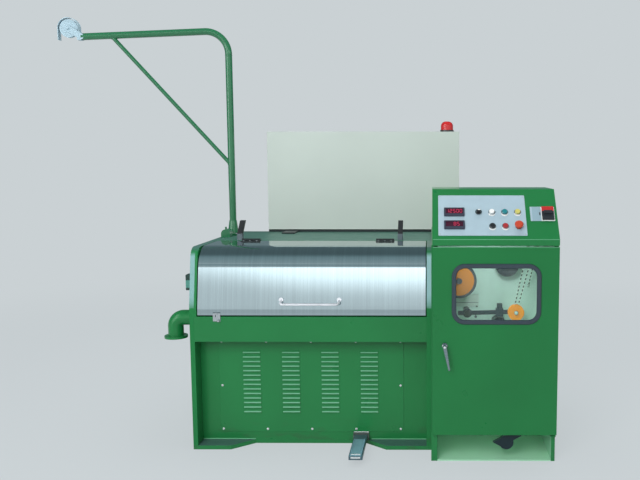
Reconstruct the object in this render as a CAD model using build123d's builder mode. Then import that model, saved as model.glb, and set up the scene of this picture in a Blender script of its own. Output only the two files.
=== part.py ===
from build123d import *
import os
from math import atan2, cos, degrees, hypot, radians, sin, tan

# Fine wire drawing machine with its take-up cabinet, in millimetres.
# X runs along the front to the right, Y goes in depth away from the operator, Z is up.
# The origin is the middle of the drawing unit's base plate, on the floor.

# Drawing unit, the left half of the machine
body_w = 1176.0
body_d = 916.0
body_h = 1000.0
base_t = 20.0
side_t = 23.0
cheek_t = 12.0
sheet_t = 4.0
top_t = 5.0
front_corner_r = 60.0
front_lean = 10.0
lean_bend_r = 200.0
recess_d = 86.0
foot_left_w = 185.0
foot_right_w = 222.0
foot_slant = 105.0

# Fascia beam between the cover and the recessed front
cover_h = 333.0
fascia_h = 124.0
fascia_flange = 26.0
lean_above_fascia = 36.0

# Louvred front panel
panel_low = 61.0
panel_margin_right = 116.0
panel_margin_left = 91.0
panel_gap = 3.0
panel_t = 2.0
panel_lap = 30.0
louvre_w = 86.0
louvre_pitch_x = 196.0
louvre_pitch_z = 23.4
louvre_slot_h = 8.0
louvre_rise = 7.0
louvre_wall = 1.5
louvre_first_x = 164.0
louvre_last_margin = 20.0
louvre_top_margin = 70.0
louvre_low = 162.0

# Drawing chamber under the cover
tank_depth = 85.0
hinge_from_front = 371.0
cone_apart = 560.0
cone_below_top = 210.0
cone_steps = 9
cone_small_r = 35.0
cone_step_r = 9.0
cone_step_w = 20.0
cone_boss_r = 48.0
cone_boss_l = 20.0
die_bar_w = 50.0
die_bar_h = 56.0
die_hole_r = 7.0

# Cover over the drawing chamber
cover_t = 2.0
cover_corner_r = 115.0
cover_gap = 5.0
cover_low_gap = 6.0
cover_back_gap = 4.0
cover_hem = 14.0
cover_hem_r = 3.0

# Cover hinges and stops
hinge_pin_r = 3.0
hinge_barrel_r = 6.0
hinge_w = 96.0
hinge_leaf_d = 42.0
hinge_leaf_t = 2.0
hinge_fit = 0.05
hinge_side_gap = 0.5
hinge_from_left = 220.0
hinge_from_right = 245.0
stop_bar = 26.0
stop_len = 92.0
stop_lean = 45.0
stop_foot_h = 34.0
stop_foot_d = 36.0
stop_from_hinge = 34.0
stop_from_left = 149.0
stop_from_right = 167.0
stop_w = 28.0
stop_round = 4.0

# Cover handle and latch
handle_span = 281.0
handle_rod_r = 6.0
handle_reach = 45.0
handle_droop = 20.0
handle_seat = 5.0
handle_above_fascia = 82.0
handle_from_left = 448.0
handle_foot_r = 11.0
handle_foot_t = 8.0
handle_bend_r = 14.0
latch_from_left = 134.0
latch_w = 36.0
latch_t = 4.0
latch_below = 22.0
tongue_gap = 0.3
latch_edge_gap = 2.0
latch_plate_h = 14.0
latch_boss_r = 5.0

# Wire inlet arm
pole_r = 19.0
pole_from_left = 40.0
pole_from_back = 225.0
arm_rise = 1145.0
arm_bend_r = 125.0
arm_reach = 819.0
arm_droop = 2.3
pole_joint = 10.0
brace_r = 11.0
brace_rise = 398.0
brace_reach = 655.0
socket_h = 84.0
socket_r = 31.0
socket_plate = 76.0
socket_plate_t = 8.0
socket_lip = 2.0
socket_fit = 0.05
clamp_w = 50.0
clamp_h = 44.0
clamp_d = 60.0
clamp_gap = 45.0
clamp_side = 9.0
clamp_knob_r = 5.0
clamp_knob_h = 12.0
clamp_knob_side = 5.0
clamp_knob_seat = 3.0
pulley_r = 50.0
pulley_w = 20.0
pulley_groove = 8.0
rim_flat = 2.5
pulley_axle_r = 6.0
pulley_out = 69.0
pulley_up = 45.0
fork_clear = 5.0
fork_t = 3.0
fork_r = 17.0
fork_block = 20.0
fork_seat = 1.0
guard_t = 3.0
guard_w = 36.0
guard_clear = 5.5
guard_leg = 64.0

# Drain elbow and wire inlet on the left side
drain_from_front = 141.0
drain_above_floor = 53.0
drain_r = 38.0
drain_wall = 4.0
drain_bend_r = 43.0
drain_out = 116.0
drain_flange_r = 57.0
drain_flange_t = 11.0
drain_drop = 103.0
drain_hole_r = 5.0
drain_hole_pcd = 95.0
inlet_from_front = 141.0
inlet_below_top = 184.0
inlet_plate = 78.0
inlet_plate_t = 8.0
inlet_reach = 50.0
inlet_block_t = 21.0
inlet_block_w = 55.0
inlet_stub_r = 20.0
inlet_eye_r = 12.0
inlet_hole_r = 16.0

# Foot pedal
pedal_x_from_right = 353.0
pedal_w = 57.0
pedal_len = 277.0
pedal_pad_len = 208.0
pedal_pad_t = 3.0
pedal_top = 52.0
pedal_t = 4.0
pedal_side_h = 18.0
pedal_pivot_z = 42.0
pedal_pivot_out = 20.0
pedal_pin_r = 5.0
pedal_hub_r = 9.0
pedal_bracket_h = 40.0
pedal_bracket_t = 6.0
pedal_side_gap = 1.0

# Electrical cabinet at the back
elec_w = 1139.0
elec_h = 580.0
elec_d = 250.0
elec_left = 201.0
elec_lift = 15.0
elec_t = 3.0
elec_door_t = 20.0
elec_front_inset = 30.0
elec_bracket_w = 80.0
elec_bracket_t = 8.0
elec_bracket_h = 180.0
elec_bracket_reach = 200.0
elec_bracket_left = 126.0
elec_bracket_right = 206.0
elec_foot_setback = 2.0
elec_tab_left = 141.0
elec_tab_w = 75.0
elec_tab_reach = 133.0
elec_tab_t = 8.0
beacon_r = 37.0
beacon_h = 66.0
beacon_base_h = 14.0
beacon_from_right = 70.0
beacon_lip = 4.0
beacon_round = 28.0

# Take-up cabinet, the right half of the machine
cab_w = 586.0
cab_step = 159.0
cab_h = 1033.0
cab_back_inset = 75.0
cab_left_t = 29.0
cab_right_t = 18.0
cab_sheet = 4.0
cab_floor_t = 6.0
bay_d = 330.0
door_t = 19.5
door_gap = 5.0
door_skin = 3.0
door_rim = 22.0
door_low = 136.0
door_top_gap = 7.0
door_over = 3.0
door_left_gap = 5.0
window_from_left = 89.0
window_w = 413.0
window_drop = 84.0
window_h = 283.0
window_r = 60.0
gasket_w = 21.0
gasket_proud = 7.0
gasket_lap = 8.0
gasket_round = 3.0
glass_t = 5.0
door_pin_r = 4.0
door_pin_len = 14.0
door_pin_inset = 7.0
door_pin_fit = 0.05
door_lug_t = 3.0
door_lug_w = 24.0
lever_below_window = 100.0
lever_from_left = 57.0
lever_len = 108.0
lever_rose_r = 13.0
lever_r = 6.0
lever_stand = 26.0
lever_rose_t = 6.0
lever_fit = 0.05
lever_gap = 0.5
lever_washer_t = 3.0
lever_head_r = 9.0
lever_tip_r = 4.5
lever_t = 9.0
lever_tilt = 11.0
lever_edge = 2.5

# Sloped control console
console_low_face = 28.0
console_rise = 224.0
console_set = 196.0
console_top_d = 280.0
console_t = 3.0
console_round = 4.0
plate_margin_left = 32.0
plate_w = 410.0
plate_h = 236.0
plate_low = 21.0
plate_t = 2.0
plate_round = 4.0
meter_w = 96.0
meter_h = 48.0
meter_t = 7.0
meter_x = 107.0
meter_high = 155.0
meter_down = 80.0
meter_frame = 5.0
meter_recess = 2.0
button_col_0 = 221.0
button_col_a = 283.0
button_col_b = 343.0
button_col_c = 404.0
button_row_high = 154.0
button_row_low = 72.0
button_r = 12.5
bezel_r = 16.0
bezel_h = 6.0
button_h = 9.0
button_fit = 0.5
button_travel = 4.0
button_floor_gap = 1.0
button_round = 1.5
selector_w = 9.0
selector_h = 14.0
selector_inset = 3.0
estop_r = 20.0
estop_row = 69.0
estop_neck_r = 11.0
estop_h = 26.0
estop_cap_h = 12.0
estop_round = 5.0
breaker_w = 110.0
breaker_h = 84.0
breaker_x = 518.0
breaker_s = 147.0
breaker_shift = 27.0
breaker_body_w = 56.0
breaker_body_h = 75.0
breaker_body_t = 9.0
breaker_bump_w = 38.0
breaker_bump_h = 18.0

# Wire path inside the take-up cabinet
wheel_x = 137.0
wheel_up = 165.0
wheel_r = 87.0
wheel_disc_r = 74.0
wheel_w = 26.0
wheel_groove = 9.0
wheel_hub_r = 15.0
wheel_ahead = 100.0
shaft_r = 8.0
shaft_fit = 0.05
shaft_side_gap = 1.0
shaft_cap_t = 10.0
dancer_x = 179.0
dancer_up = 1.0
dancer_len = 240.0
dancer_rise = 6.0
dancer_bar = 20.0
dancer_t = 12.0
dancer_hub_r = 23.0
dancer_tail = 46.0
dancer_ahead = 92.0
weight_from_pivot = 160.0
weight_w = 37.0
weight_h = 62.0
weight_step_w = 26.0
weight_step_h = 24.0
weight_t = 32.0
weight_up = 12.0
roller_r = 40.0
roller_w = 22.0
roller_cap_r = 10.0
roller_groove = 8.0

# Brackets, spindle boss and clamp on the inner panel
bracket_x = 183.0
bracket_up = 47.0
bracket_w = 116.0
bracket_h = 63.0
bracket_t = 6.0
lug_x = 379.0
lug_up = 236.0
lug_r = 58.0
lug_t = 60.0
spindle_x = 340.0
spindle_down = 60.0
spindle_r = 34.0
spindle_t = 70.0
clamp_piece_x = 357.0
clamp_piece_z = 88.0
clamp_piece_r = 34.0
clamp_piece_t = 22.0
clamp_piece_set = 8.0
clamp_point = 63.0
clamp_rod_r = 12.0
clamp_lever_x = 71.0
clamp_lever_z = 38.0
clamp_lever_w = 14.0

# Heights and edges that follow from the sizes
fascia_high = body_h - cover_h
fascia_low = fascia_high - fascia_h
tank_floor_z = fascia_high - tank_depth
cone_z = body_h - cone_below_top
handle_z = fascia_high + handle_above_fascia
drain_z = tank_floor_z + drain_above_floor
drain_low = drain_z - drain_drop
inlet_z = body_h - inlet_below_top
elec_low = body_h + elec_lift
arm_z = body_h + arm_rise
brace_pole_z = body_h + brace_rise
door_high = cab_h - door_top_gap
window_low = cab_h - window_drop - window_h
lever_z = window_low - lever_below_window
wheel_z = window_low + wheel_up
dancer_z = window_low + dancer_up
bracket_z = window_low + bracket_up
lug_z = window_low + lug_up
spindle_z = window_low - spindle_down
body_left = -body_w / 2
body_right = body_w / 2
body_front = -body_d / 2
body_back = body_d / 2
recess_y = body_front + recess_d
hinge_y = body_front + hinge_from_front
cover_z = fascia_high + cover_low_gap
lean_z = fascia_high + lean_above_fascia
lean_top_y = body_front + (body_h - lean_z) * tan(radians(front_lean))
cab_left = body_right
cab_right = cab_left + cab_w
cab_front = body_front - cab_step
cab_wall_y = cab_front + door_t + door_gap
cab_back = body_back - cab_back_inset
bay_y = cab_wall_y + bay_d
console_z = cab_h + console_low_face
inner_left = body_left + side_t
inner_right = body_right - side_t
cheek_right = inner_left + cheek_t

top_front = hinge_y + cover_back_gap
door_left = cab_left + door_left_gap
door_right = cab_right + door_over
door_axis_x = door_right - door_pin_inset
door_axis_y = cab_front + door_pin_inset
hinge_z = body_h + hinge_barrel_r

os.makedirs("parts", exist_ok=True)


def finish(builder, name):
    """Label a finished piece and write its STEP file."""
    builder.part.label = name
    export_step(builder.part, f"parts/{name}.step")


def side_profile(low, back):
    """Side view of a side wall: upright, then leaning back to a rounded top corner."""
    with BuildSketch() as profile:
        with BuildLine():
            FilletPolyline(
                (body_front, low),
                (body_front, lean_z),
                (lean_top_y, body_h),
                (back, body_h),
                radius=[lean_bend_r, front_corner_r],
            )
            Polyline((back, body_h), (back, low), (body_front, low))
        make_face()
    return profile.sketch


# Base plate with a notch for the operator's feet
with BuildPart() as base_plate:
    with BuildSketch():
        with BuildLine():
            Polyline(
                (body_left, body_front),
                (body_left + foot_left_w, body_front),
                (body_left + foot_left_w + foot_slant, recess_y),
                (body_right - foot_right_w - foot_slant, recess_y),
                (body_right - foot_right_w, body_front),
                (body_right, body_front),
                (body_right, body_back),
                (body_left, body_back),
                close=True,
            )
        make_face()
    extrude(amount=base_t)
finish(base_plate, "base_plate")

# Side plates, the left one thicker beside the drawing chamber, with the drain and wire holes
drain_y = body_front + drain_from_front
inlet_y = body_front + inlet_from_front
with BuildPart() as left_side_plate:
    with BuildSketch(Plane.YZ.offset(body_left)):
        add(side_profile(base_t, body_back))
        with Locations(((top_front + body_back) / 2, body_h - top_t / 2)):
            Rectangle(body_back - top_front, top_t, mode=Mode.SUBTRACT)
    extrude(amount=side_t)
    with BuildSketch(Plane.YZ.offset(inner_left)):
        add(side_profile(fascia_high, top_front))
    extrude(amount=cheek_t)
    with BuildSketch(Plane.YZ.offset(body_left)):
        with Locations((drain_y, drain_z)):
            Circle(drain_r - drain_wall)
        with Locations((inlet_y, inlet_z)):
            Circle(inlet_hole_r)
    extrude(amount=side_t + cheek_t, mode=Mode.SUBTRACT)
finish(left_side_plate, "left_side_plate")

with BuildPart() as right_side_plate:
    with BuildSketch(Plane.YZ.offset(inner_right)):
        add(side_profile(base_t, body_back))
        with Locations(((top_front + body_back) / 2, body_h - top_t / 2)):
            Rectangle(body_back - top_front, top_t, mode=Mode.SUBTRACT)
    extrude(amount=side_t)
finish(right_side_plate, "right_side_plate")

# Fascia beam, a folded channel flush with the side plates
with BuildPart() as front_fascia:
    with BuildSketch(Plane.YZ.offset(inner_left)):
        with BuildLine():
            Polyline(
                (body_front + fascia_flange, fascia_high),
                (body_front, fascia_high),
                (body_front, fascia_low),
                (recess_y, fascia_low),
                (recess_y, fascia_low + sheet_t),
                (body_front + sheet_t, fascia_low + sheet_t),
                (body_front + sheet_t, fascia_high - sheet_t),
                (body_front + fascia_flange, fascia_high - sheet_t),
                close=True,
            )
        make_face()
    extrude(amount=inner_right - inner_left)
finish(front_fascia, "front_fascia")

# Fixed wall behind the louvred panel, open where the panel covers it
panel_right = inner_right - panel_margin_right
panel_left = inner_left + panel_margin_left
panel_w = panel_right - panel_left
panel_high = fascia_low - panel_gap
panel_x = (panel_left + panel_right) / 2
panel_z = (panel_low + panel_high) / 2
panel_h = panel_high - panel_low
recess_top = fascia_low + sheet_t
with BuildPart() as recess_wall:
    with BuildSketch(Plane.XZ.offset(-recess_y)):
        with Locations((0, (base_t + recess_top) / 2)):
            Rectangle(inner_right - inner_left, recess_top - base_t)
        with Locations((panel_x, panel_z)):
            Rectangle(panel_w - 2 * panel_lap, panel_h - 2 * panel_lap, mode=Mode.SUBTRACT)
    extrude(amount=-sheet_t)
finish(recess_wall, "recess_wall")

# Louvred panel: each louvre is a slot under a pressed hood that opens downwards
louvre_run_x = panel_w - louvre_first_x - louvre_w / 2 - louvre_last_margin
louvre_run_z = panel_high - louvre_top_margin - louvre_low
louvre_cols = int(louvre_run_x / louvre_pitch_x) + 1
louvre_rows = int(louvre_run_z / louvre_pitch_z) + 1
louvre_spots = [
    (panel_left + louvre_first_x + column * louvre_pitch_x, louvre_low + row * louvre_pitch_z)
    for column in range(louvre_cols)
    for row in range(louvre_rows)
]
with BuildPart() as hood:
    with BuildSketch(Plane.YZ.offset(-louvre_w / 2)):
        with BuildLine():
            Polyline(
                (0, 0),
                (-louvre_rise, 0),
                (-louvre_rise, louvre_wall),
                (0, louvre_slot_h + 2 * louvre_wall),
                close=True,
            )
        make_face()
    extrude(amount=louvre_w)
    with BuildSketch(Plane.YZ.offset(louvre_wall - louvre_w / 2)):
        with BuildLine():
            Polyline(
                (0, 0),
                (louvre_wall - louvre_rise, 0),
                (0, louvre_slot_h),
                close=True,
            )
        make_face()
    extrude(amount=louvre_w - 2 * louvre_wall, mode=Mode.SUBTRACT)
with BuildPart() as louvre_panel:
    with BuildSketch(Plane.XZ.offset(-recess_y)):
        with Locations((panel_x, panel_z)):
            Rectangle(panel_w, panel_h)
        with Locations(*[(x, z + louvre_slot_h / 2) for x, z in louvre_spots]):
            Rectangle(louvre_w - 2 * louvre_wall, louvre_slot_h, mode=Mode.SUBTRACT)
    extrude(amount=panel_t)
    with Locations(*[(x, recess_y - panel_t, z) for x, z in louvre_spots]):
        add(hood.part)
finish(louvre_panel, "louvre_panel")

# Back wall, top plate and drawing tank
with BuildPart() as back_wall:
    with BuildSketch(Plane.XZ.offset(-body_back)):
        with Locations((0, (base_t + body_h - top_t) / 2)):
            Rectangle(inner_right - inner_left, body_h - top_t - base_t)
    extrude(amount=sheet_t)
finish(back_wall, "back_wall")

with BuildPart() as top_plate:
    with BuildSketch(Plane.XY.offset(body_h - top_t)):
        with Locations((0, (top_front + body_back) / 2)):
            Rectangle(body_w, body_back - top_front)
    extrude(amount=top_t)
finish(top_plate, "top_plate")

tank_front = body_front + fascia_flange
tank_lip = fascia_high - sheet_t
with BuildPart() as drawing_tank:
    with BuildSketch(Plane.YZ.offset(inner_left)):
        with BuildLine():
            Polyline(
                (tank_front - sheet_t, tank_lip),
                (tank_front - sheet_t, tank_floor_z - sheet_t),
                (top_front + sheet_t, tank_floor_z - sheet_t),
                (top_front + sheet_t, body_h - top_t),
                (top_front, body_h - top_t),
                (top_front, tank_floor_z),
                (tank_front, tank_floor_z),
                (tank_front, tank_lip),
                close=True,
            )
        make_face()
    extrude(amount=inner_right - inner_left)
finish(drawing_tank, "drawing_tank")

# Stepped drawing cones on the tank's rear wall and the die bar between them
cone_back = top_front - cone_boss_l
with BuildPart() as drawing_cones:
    for x in (-cone_apart / 2, cone_apart / 2):
        with BuildSketch(Plane.XZ.offset(-top_front)):
            with Locations((x, cone_z)):
                Circle(cone_boss_r)
        extrude(amount=cone_boss_l)
        for step in range(cone_steps):
            with BuildSketch(Plane.XZ.offset(step * cone_step_w - cone_back)):
                with Locations((x, cone_z)):
                    Circle(cone_small_r + (cone_steps - step) * cone_step_r)
            extrude(amount=cone_step_w)
finish(drawing_cones, "drawing_cones")

die_bar_l = cone_boss_l + cone_steps * cone_step_w
with BuildPart() as die_bar:
    with BuildSketch(Plane.XZ.offset(-top_front)):
        with Locations((0, cone_z)):
            Rectangle(die_bar_w, die_bar_h)
    extrude(amount=die_bar_l)
    with BuildSketch(Plane.YZ.offset(-die_bar_w / 2)):
        with Locations(*[(cone_back - (step + 0.5) * cone_step_w, cone_z) for step in range(cone_steps)]):
            Circle(die_hole_r)
    extrude(amount=die_bar_w, mode=Mode.SUBTRACT)
finish(die_bar, "die_bar")

# Curved cover, bent from one sheet, with a hem along its lower edge
cover_left = cheek_right + cover_gap
cover_right = inner_right - cover_gap
cover_w = cover_right - cover_left
cover_back = hinge_y - cover_back_gap
with BuildPart() as cover:
    with BuildSketch(Plane.YZ.offset(cover_left)):
        with BuildLine():
            cover_line = FilletPolyline(
                (body_front + cover_hem, cover_z),
                (body_front, cover_z),
                (body_front, lean_z),
                (lean_top_y, body_h),
                (cover_back, body_h),
                radius=[cover_hem_r, lean_bend_r, cover_corner_r],
            )
            offset(cover_line, amount=cover_t, side=Side.RIGHT)
        make_face()
    extrude(amount=cover_w)
finish(cover, "cover")

# Cover hinges: the fixed leaf has the outer knuckles and the pin, the moving leaf the middle one
hinge_spots = (body_left + hinge_from_left, body_right - hinge_from_right)
knuckle_w = hinge_w / 3
leaf_start = hinge_barrel_r + 1.0
with BuildPart() as hinge_fixed:
    for x in hinge_spots:
        with BuildSketch(Plane.XY.offset(body_h)):
            with Locations((x, hinge_y + (leaf_start + hinge_leaf_d) / 2)):
                Rectangle(hinge_w, hinge_leaf_d - leaf_start)
            with Locations(
                (x - knuckle_w, hinge_y + leaf_start / 2), (x + knuckle_w, hinge_y + leaf_start / 2)
            ):
                Rectangle(knuckle_w, leaf_start)
        extrude(amount=hinge_leaf_t)
        for start in (x - hinge_w / 2, x + knuckle_w / 2):
            with BuildSketch(Plane.YZ.offset(start)):
                with Locations((hinge_y, hinge_z)):
                    Circle(hinge_barrel_r)
            extrude(amount=knuckle_w)
        with BuildSketch(Plane.YZ.offset(x - knuckle_w)):
            with Locations((hinge_y, hinge_z)):
                Circle(hinge_pin_r)
        extrude(amount=2 * knuckle_w)
finish(hinge_fixed, "cover_hinge_fixed")

with BuildPart() as hinge_moving:
    for x in hinge_spots:
        with BuildSketch(Plane.XY.offset(body_h)):
            with Locations((x, hinge_y - (leaf_start + hinge_leaf_d) / 2)):
                Rectangle(hinge_w, hinge_leaf_d - leaf_start)
            with Locations((x, hinge_y - leaf_start / 2)):
                Rectangle(knuckle_w - 2 * hinge_side_gap, leaf_start)
        extrude(amount=hinge_leaf_t)
        with BuildSketch(Plane.YZ.offset(x - knuckle_w / 2 + hinge_side_gap)):
            with Locations((hinge_y, hinge_z)):
                Circle(hinge_barrel_r)
        extrude(amount=knuckle_w - 2 * hinge_side_gap)
        with BuildSketch(Plane.YZ.offset(x - knuckle_w)):
            with Locations((hinge_y, hinge_z)):
                Circle(hinge_pin_r + hinge_fit)
        extrude(amount=2 * knuckle_w, mode=Mode.SUBTRACT)
finish(hinge_moving, "cover_hinge_moving")

# Stops behind the hinge line: a steel foot and a rubber bar that leans back
stop_spots = (body_left + stop_from_left, body_right - stop_from_right)
stop_y = hinge_y + stop_from_hinge + stop_foot_d / 2
lean = (0, sin(radians(stop_lean)), cos(radians(stop_lean)))
with BuildPart() as stops:
    with BuildSketch(Plane.XY.offset(body_h)):
        with Locations(*[(x, stop_y) for x in stop_spots]):
            RectangleRounded(stop_w, stop_foot_d, stop_round)
    extrude(amount=stop_foot_h)
    with BuildSketch(Plane.XY.offset(body_h + stop_foot_h)):
        with Locations(*[(x, stop_y) for x in stop_spots]):
            RectangleRounded(stop_bar, stop_foot_d, stop_round)
    extrude(amount=stop_len, dir=lean)
finish(stops, "cover_stops")

# Chrome handle on the cover's leaning face, a bent rod that droops from two feet
handle_left = body_left + handle_from_left
handle_y = body_front + (handle_z - lean_z) * tan(radians(front_lean))
cover_face = Plane(
    origin=(handle_left, handle_y, handle_z),
    x_dir=(1, 0, 0),
    z_dir=(0, -cos(radians(front_lean)), sin(radians(front_lean))),
)
handle_side = Plane(
    origin=cover_face.origin,
    x_dir=(1, 0, 0),
    z_dir=(0, -sin(radians(handle_droop)), cos(radians(handle_droop))),
)
with BuildPart() as cover_handle:
    with BuildLine(handle_side) as handle_path:
        FilletPolyline(
            (0, -handle_seat),
            (0, -handle_reach),
            (handle_span, -handle_reach),
            (handle_span, -handle_seat),
            radius=handle_bend_r,
        )
    with BuildSketch(Plane(origin=handle_path.line @ 0, z_dir=handle_path.line % 0)):
        Circle(handle_rod_r)
    sweep(path=handle_path.line)
    with BuildSketch(cover_face):
        with Locations((0, 0), (handle_span, 0)):
            Circle(handle_foot_r)
    extrude(amount=handle_foot_t)
finish(cover_handle, "cover_handle")

# Cover latch: a plate on the cover whose tongue laps the fascia
latch_x = body_left + latch_from_left
tongue_y = body_front - tongue_gap
latch_low = cover_z + latch_edge_gap
with BuildPart() as cover_latch:
    with BuildSketch(Plane.YZ.offset(latch_x - latch_w / 2)):
        with BuildLine():
            Polyline(
                (body_front, latch_low),
                (body_front, latch_low + latch_plate_h),
                (tongue_y, latch_low + latch_plate_h),
                (tongue_y - latch_t, latch_low + latch_plate_h - latch_t),
                (tongue_y - latch_t, fascia_high - latch_below),
                (tongue_y, fascia_high - latch_below),
                (tongue_y, latch_low),
                close=True,
            )
        make_face()
    extrude(amount=latch_w)
    with BuildSketch(Plane.XZ.offset(latch_t - tongue_y)):
        with Locations((latch_x, latch_low + latch_plate_h / 2)):
            Circle(latch_boss_r)
    extrude(amount=latch_t)
finish(cover_latch, "cover_latch")

# Inlet arm: pole in its socket, bent boom, brace
pole_x = body_left + pole_from_left
pole_y = body_back - pole_from_back
pole_top = arm_z - arm_bend_r - pole_joint
boom_end = (pole_x - arm_reach, arm_z - arm_reach * tan(radians(arm_droop)))
with BuildPart() as arm_pole:
    with BuildSketch(Plane.XY.offset(body_h + socket_plate_t)):
        with Locations((pole_x, pole_y)):
            Circle(pole_r)
    extrude(amount=pole_top - body_h - socket_plate_t)
finish(arm_pole, "arm_pole")

with BuildPart() as arm_boom:
    with BuildLine(Plane.XZ.offset(-pole_y)) as boom_path:
        FilletPolyline((pole_x, pole_top), (pole_x, arm_z), boom_end, radius=arm_bend_r)
    with BuildSketch(Plane.XY.offset(pole_top)):
        with Locations((pole_x, pole_y)):
            Circle(pole_r)
    sweep(path=boom_path.line)
finish(arm_boom, "arm_boom")

brace_out = (pole_x - brace_reach, pole_y, arm_z - brace_reach * tan(radians(arm_droop)))
brace_in = (pole_x, pole_y, brace_pole_z)
with BuildPart() as arm_brace:
    with BuildLine() as brace_path:
        Line(brace_out, brace_in)
    with BuildSketch(Plane(origin=brace_out, z_dir=brace_path.line % 0)):
        Circle(brace_r)
    sweep(path=brace_path.line)
    add(arm_pole.part, mode=Mode.SUBTRACT)
    add(arm_boom.part, mode=Mode.SUBTRACT)
finish(arm_brace, "arm_brace")

with BuildPart() as pole_socket:
    with BuildSketch(Plane.XY.offset(body_h)):
        with Locations((pole_x, pole_y)):
            RectangleRounded(socket_plate, socket_plate, stop_round)
    extrude(amount=socket_plate_t)
    with BuildSketch(Plane.XY.offset(body_h + socket_plate_t)):
        with Locations((pole_x, pole_y)):
            Circle(socket_r)
    with BuildSketch(Plane.XY.offset(body_h + socket_h)):
        with Locations((pole_x, pole_y)):
            Circle(pole_r + socket_lip)
    loft()
    with BuildSketch(Plane.XY.offset(body_h + socket_plate_t)):
        with Locations((pole_x, pole_y)):
            Circle(pole_r + socket_fit)
    extrude(amount=socket_h, mode=Mode.SUBTRACT)
finish(pole_socket, "pole_socket")

# Lock block in front of the pole with its clamp knob
clamp_x = body_left + clamp_w / 2 + clamp_side
clamp_y = pole_y - socket_plate / 2 - clamp_d / 2 - clamp_gap
with BuildPart() as lock_block:
    with BuildSketch(Plane.XZ.offset(-(clamp_y + clamp_d / 2))):
        with Locations((clamp_x, body_h + (clamp_h - clamp_w / 2) / 2)):
            Rectangle(clamp_w, clamp_h - clamp_w / 2)
        with Locations((clamp_x, body_h + clamp_h - clamp_w / 2)):
            Circle(clamp_w / 2)
        with Locations((clamp_x, body_h - clamp_w / 2)):
            Rectangle(2 * clamp_w, clamp_w, mode=Mode.SUBTRACT)
    extrude(amount=clamp_d)
    with BuildSketch(Plane.XY.offset(body_h + clamp_h - clamp_knob_seat)):
        with Locations((clamp_x - clamp_knob_side, clamp_y)):
            Circle(clamp_knob_r)
    extrude(amount=clamp_knob_h + clamp_knob_seat)
finish(lock_block, "arm_lock_block")

# Pulley fork at the arm's end with a strap guard round the inlet pulley
pulley_x = boom_end[0] - pulley_out
pulley_z = boom_end[1] + pulley_up
fork_gap = pulley_w / 2 + fork_clear
guard_r = pulley_r + guard_clear
with BuildPart() as pulley_fork:
    with BuildSketch(Plane.XZ.offset(-(pole_y - fork_gap))):
        with Locations((boom_end[0] - fork_block / 2 + fork_seat, boom_end[1])):
            Rectangle(fork_block + 2 * fork_seat, 2 * pole_r)
    extrude(amount=-2 * fork_gap)
    fork_angle = degrees(atan2(pulley_up, -pulley_out))
    fork_mid = (boom_end[0] - pulley_out / 2, boom_end[1] + pulley_up / 2)
    fork_len = hypot(pulley_out, pulley_up)
    for side in (fork_gap, -fork_gap - fork_t):
        with BuildSketch(Plane.XZ.offset(-(pole_y + side + fork_t))):
            with Locations((boom_end[0] - fork_block / 2, boom_end[1])):
                Rectangle(fork_block, 2 * pole_r)
            with Locations(Location((*fork_mid, 0), fork_angle)):
                SlotCenterToCenter(fork_len, 2 * fork_r)
        extrude(amount=fork_t)
    with BuildSketch(Plane.XZ.offset(-(pole_y + fork_gap + fork_t))):
        with Locations((pulley_x, pulley_z)):
            Circle(pulley_axle_r)
    extrude(amount=2 * (fork_gap + fork_t))
    with BuildSketch(Plane.XZ.offset(-(pole_y + guard_w / 2))):
        with Locations((pulley_x, pulley_z)):
            Circle(guard_r + guard_t)
        with Locations((pulley_x, pulley_z - guard_leg / 2)):
            Rectangle(2 * (guard_r + guard_t), guard_leg)
        with Locations((pulley_x, pulley_z)):
            Circle(guard_r, mode=Mode.SUBTRACT)
        with Locations((pulley_x, pulley_z - guard_leg / 2)):
            Rectangle(2 * guard_r, guard_leg, mode=Mode.SUBTRACT)
    extrude(amount=guard_w)
    add(arm_boom.part, mode=Mode.SUBTRACT)
finish(pulley_fork, "pulley_fork")


def grooved_wheel(outer, bore, width, groove, centre):
    """A solid wheel about the Y axis with a V groove round its rim."""
    with BuildPart() as wheel:
        with BuildSketch(Plane.XY) as section:
            with BuildLine():
                Polyline(
                    (bore, -width / 2),
                    (outer, -width / 2),
                    (outer, -width / 2 + rim_flat),
                    (outer - groove, 0),
                    (outer, width / 2 - rim_flat),
                    (outer, width / 2),
                    (bore, width / 2),
                    close=True,
                )
            make_face()
        revolve(axis=Axis.Y)
    return wheel.part.moved(Location(centre))


with BuildPart() as arm_pulley:
    pulley_bore = pulley_axle_r + shaft_fit
    add(grooved_wheel(pulley_r, pulley_bore, pulley_w, pulley_groove, (pulley_x, pole_y, pulley_z)))
finish(arm_pulley, "arm_pulley")

# Drain elbow, a bent tube from the tank with a drilled flange at its lower end
drain_x = body_left - drain_out
with BuildPart() as drain_elbow:
    with BuildLine(Plane.XZ.offset(-drain_y)) as drain_path:
        FilletPolyline(
            (body_left, drain_z), (drain_x, drain_z), (drain_x, drain_low), radius=drain_bend_r
        )
    with BuildSketch(Plane.YZ.offset(body_left)):
        with Locations((drain_y, drain_z)):
            Circle(drain_r)
    sweep(path=drain_path.line)
    with BuildSketch(Plane.XY.offset(drain_low)):
        with Locations((drain_x, drain_y)):
            Circle(drain_flange_r)
    extrude(amount=drain_flange_t)
    with BuildSketch(Plane.YZ.offset(body_left)):
        with Locations((drain_y, drain_z)):
            Circle(drain_r - drain_wall)
    sweep(path=drain_path.line, mode=Mode.SUBTRACT)
    with BuildSketch(Plane.XY.offset(drain_low)):
        with Locations((drain_x, drain_y)):
            with PolarLocations(drain_hole_pcd / 2, 4, start_angle=45):
                Circle(drain_hole_r)
    extrude(amount=drain_flange_t, mode=Mode.SUBTRACT)
finish(drain_elbow, "drain_elbow")

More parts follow.
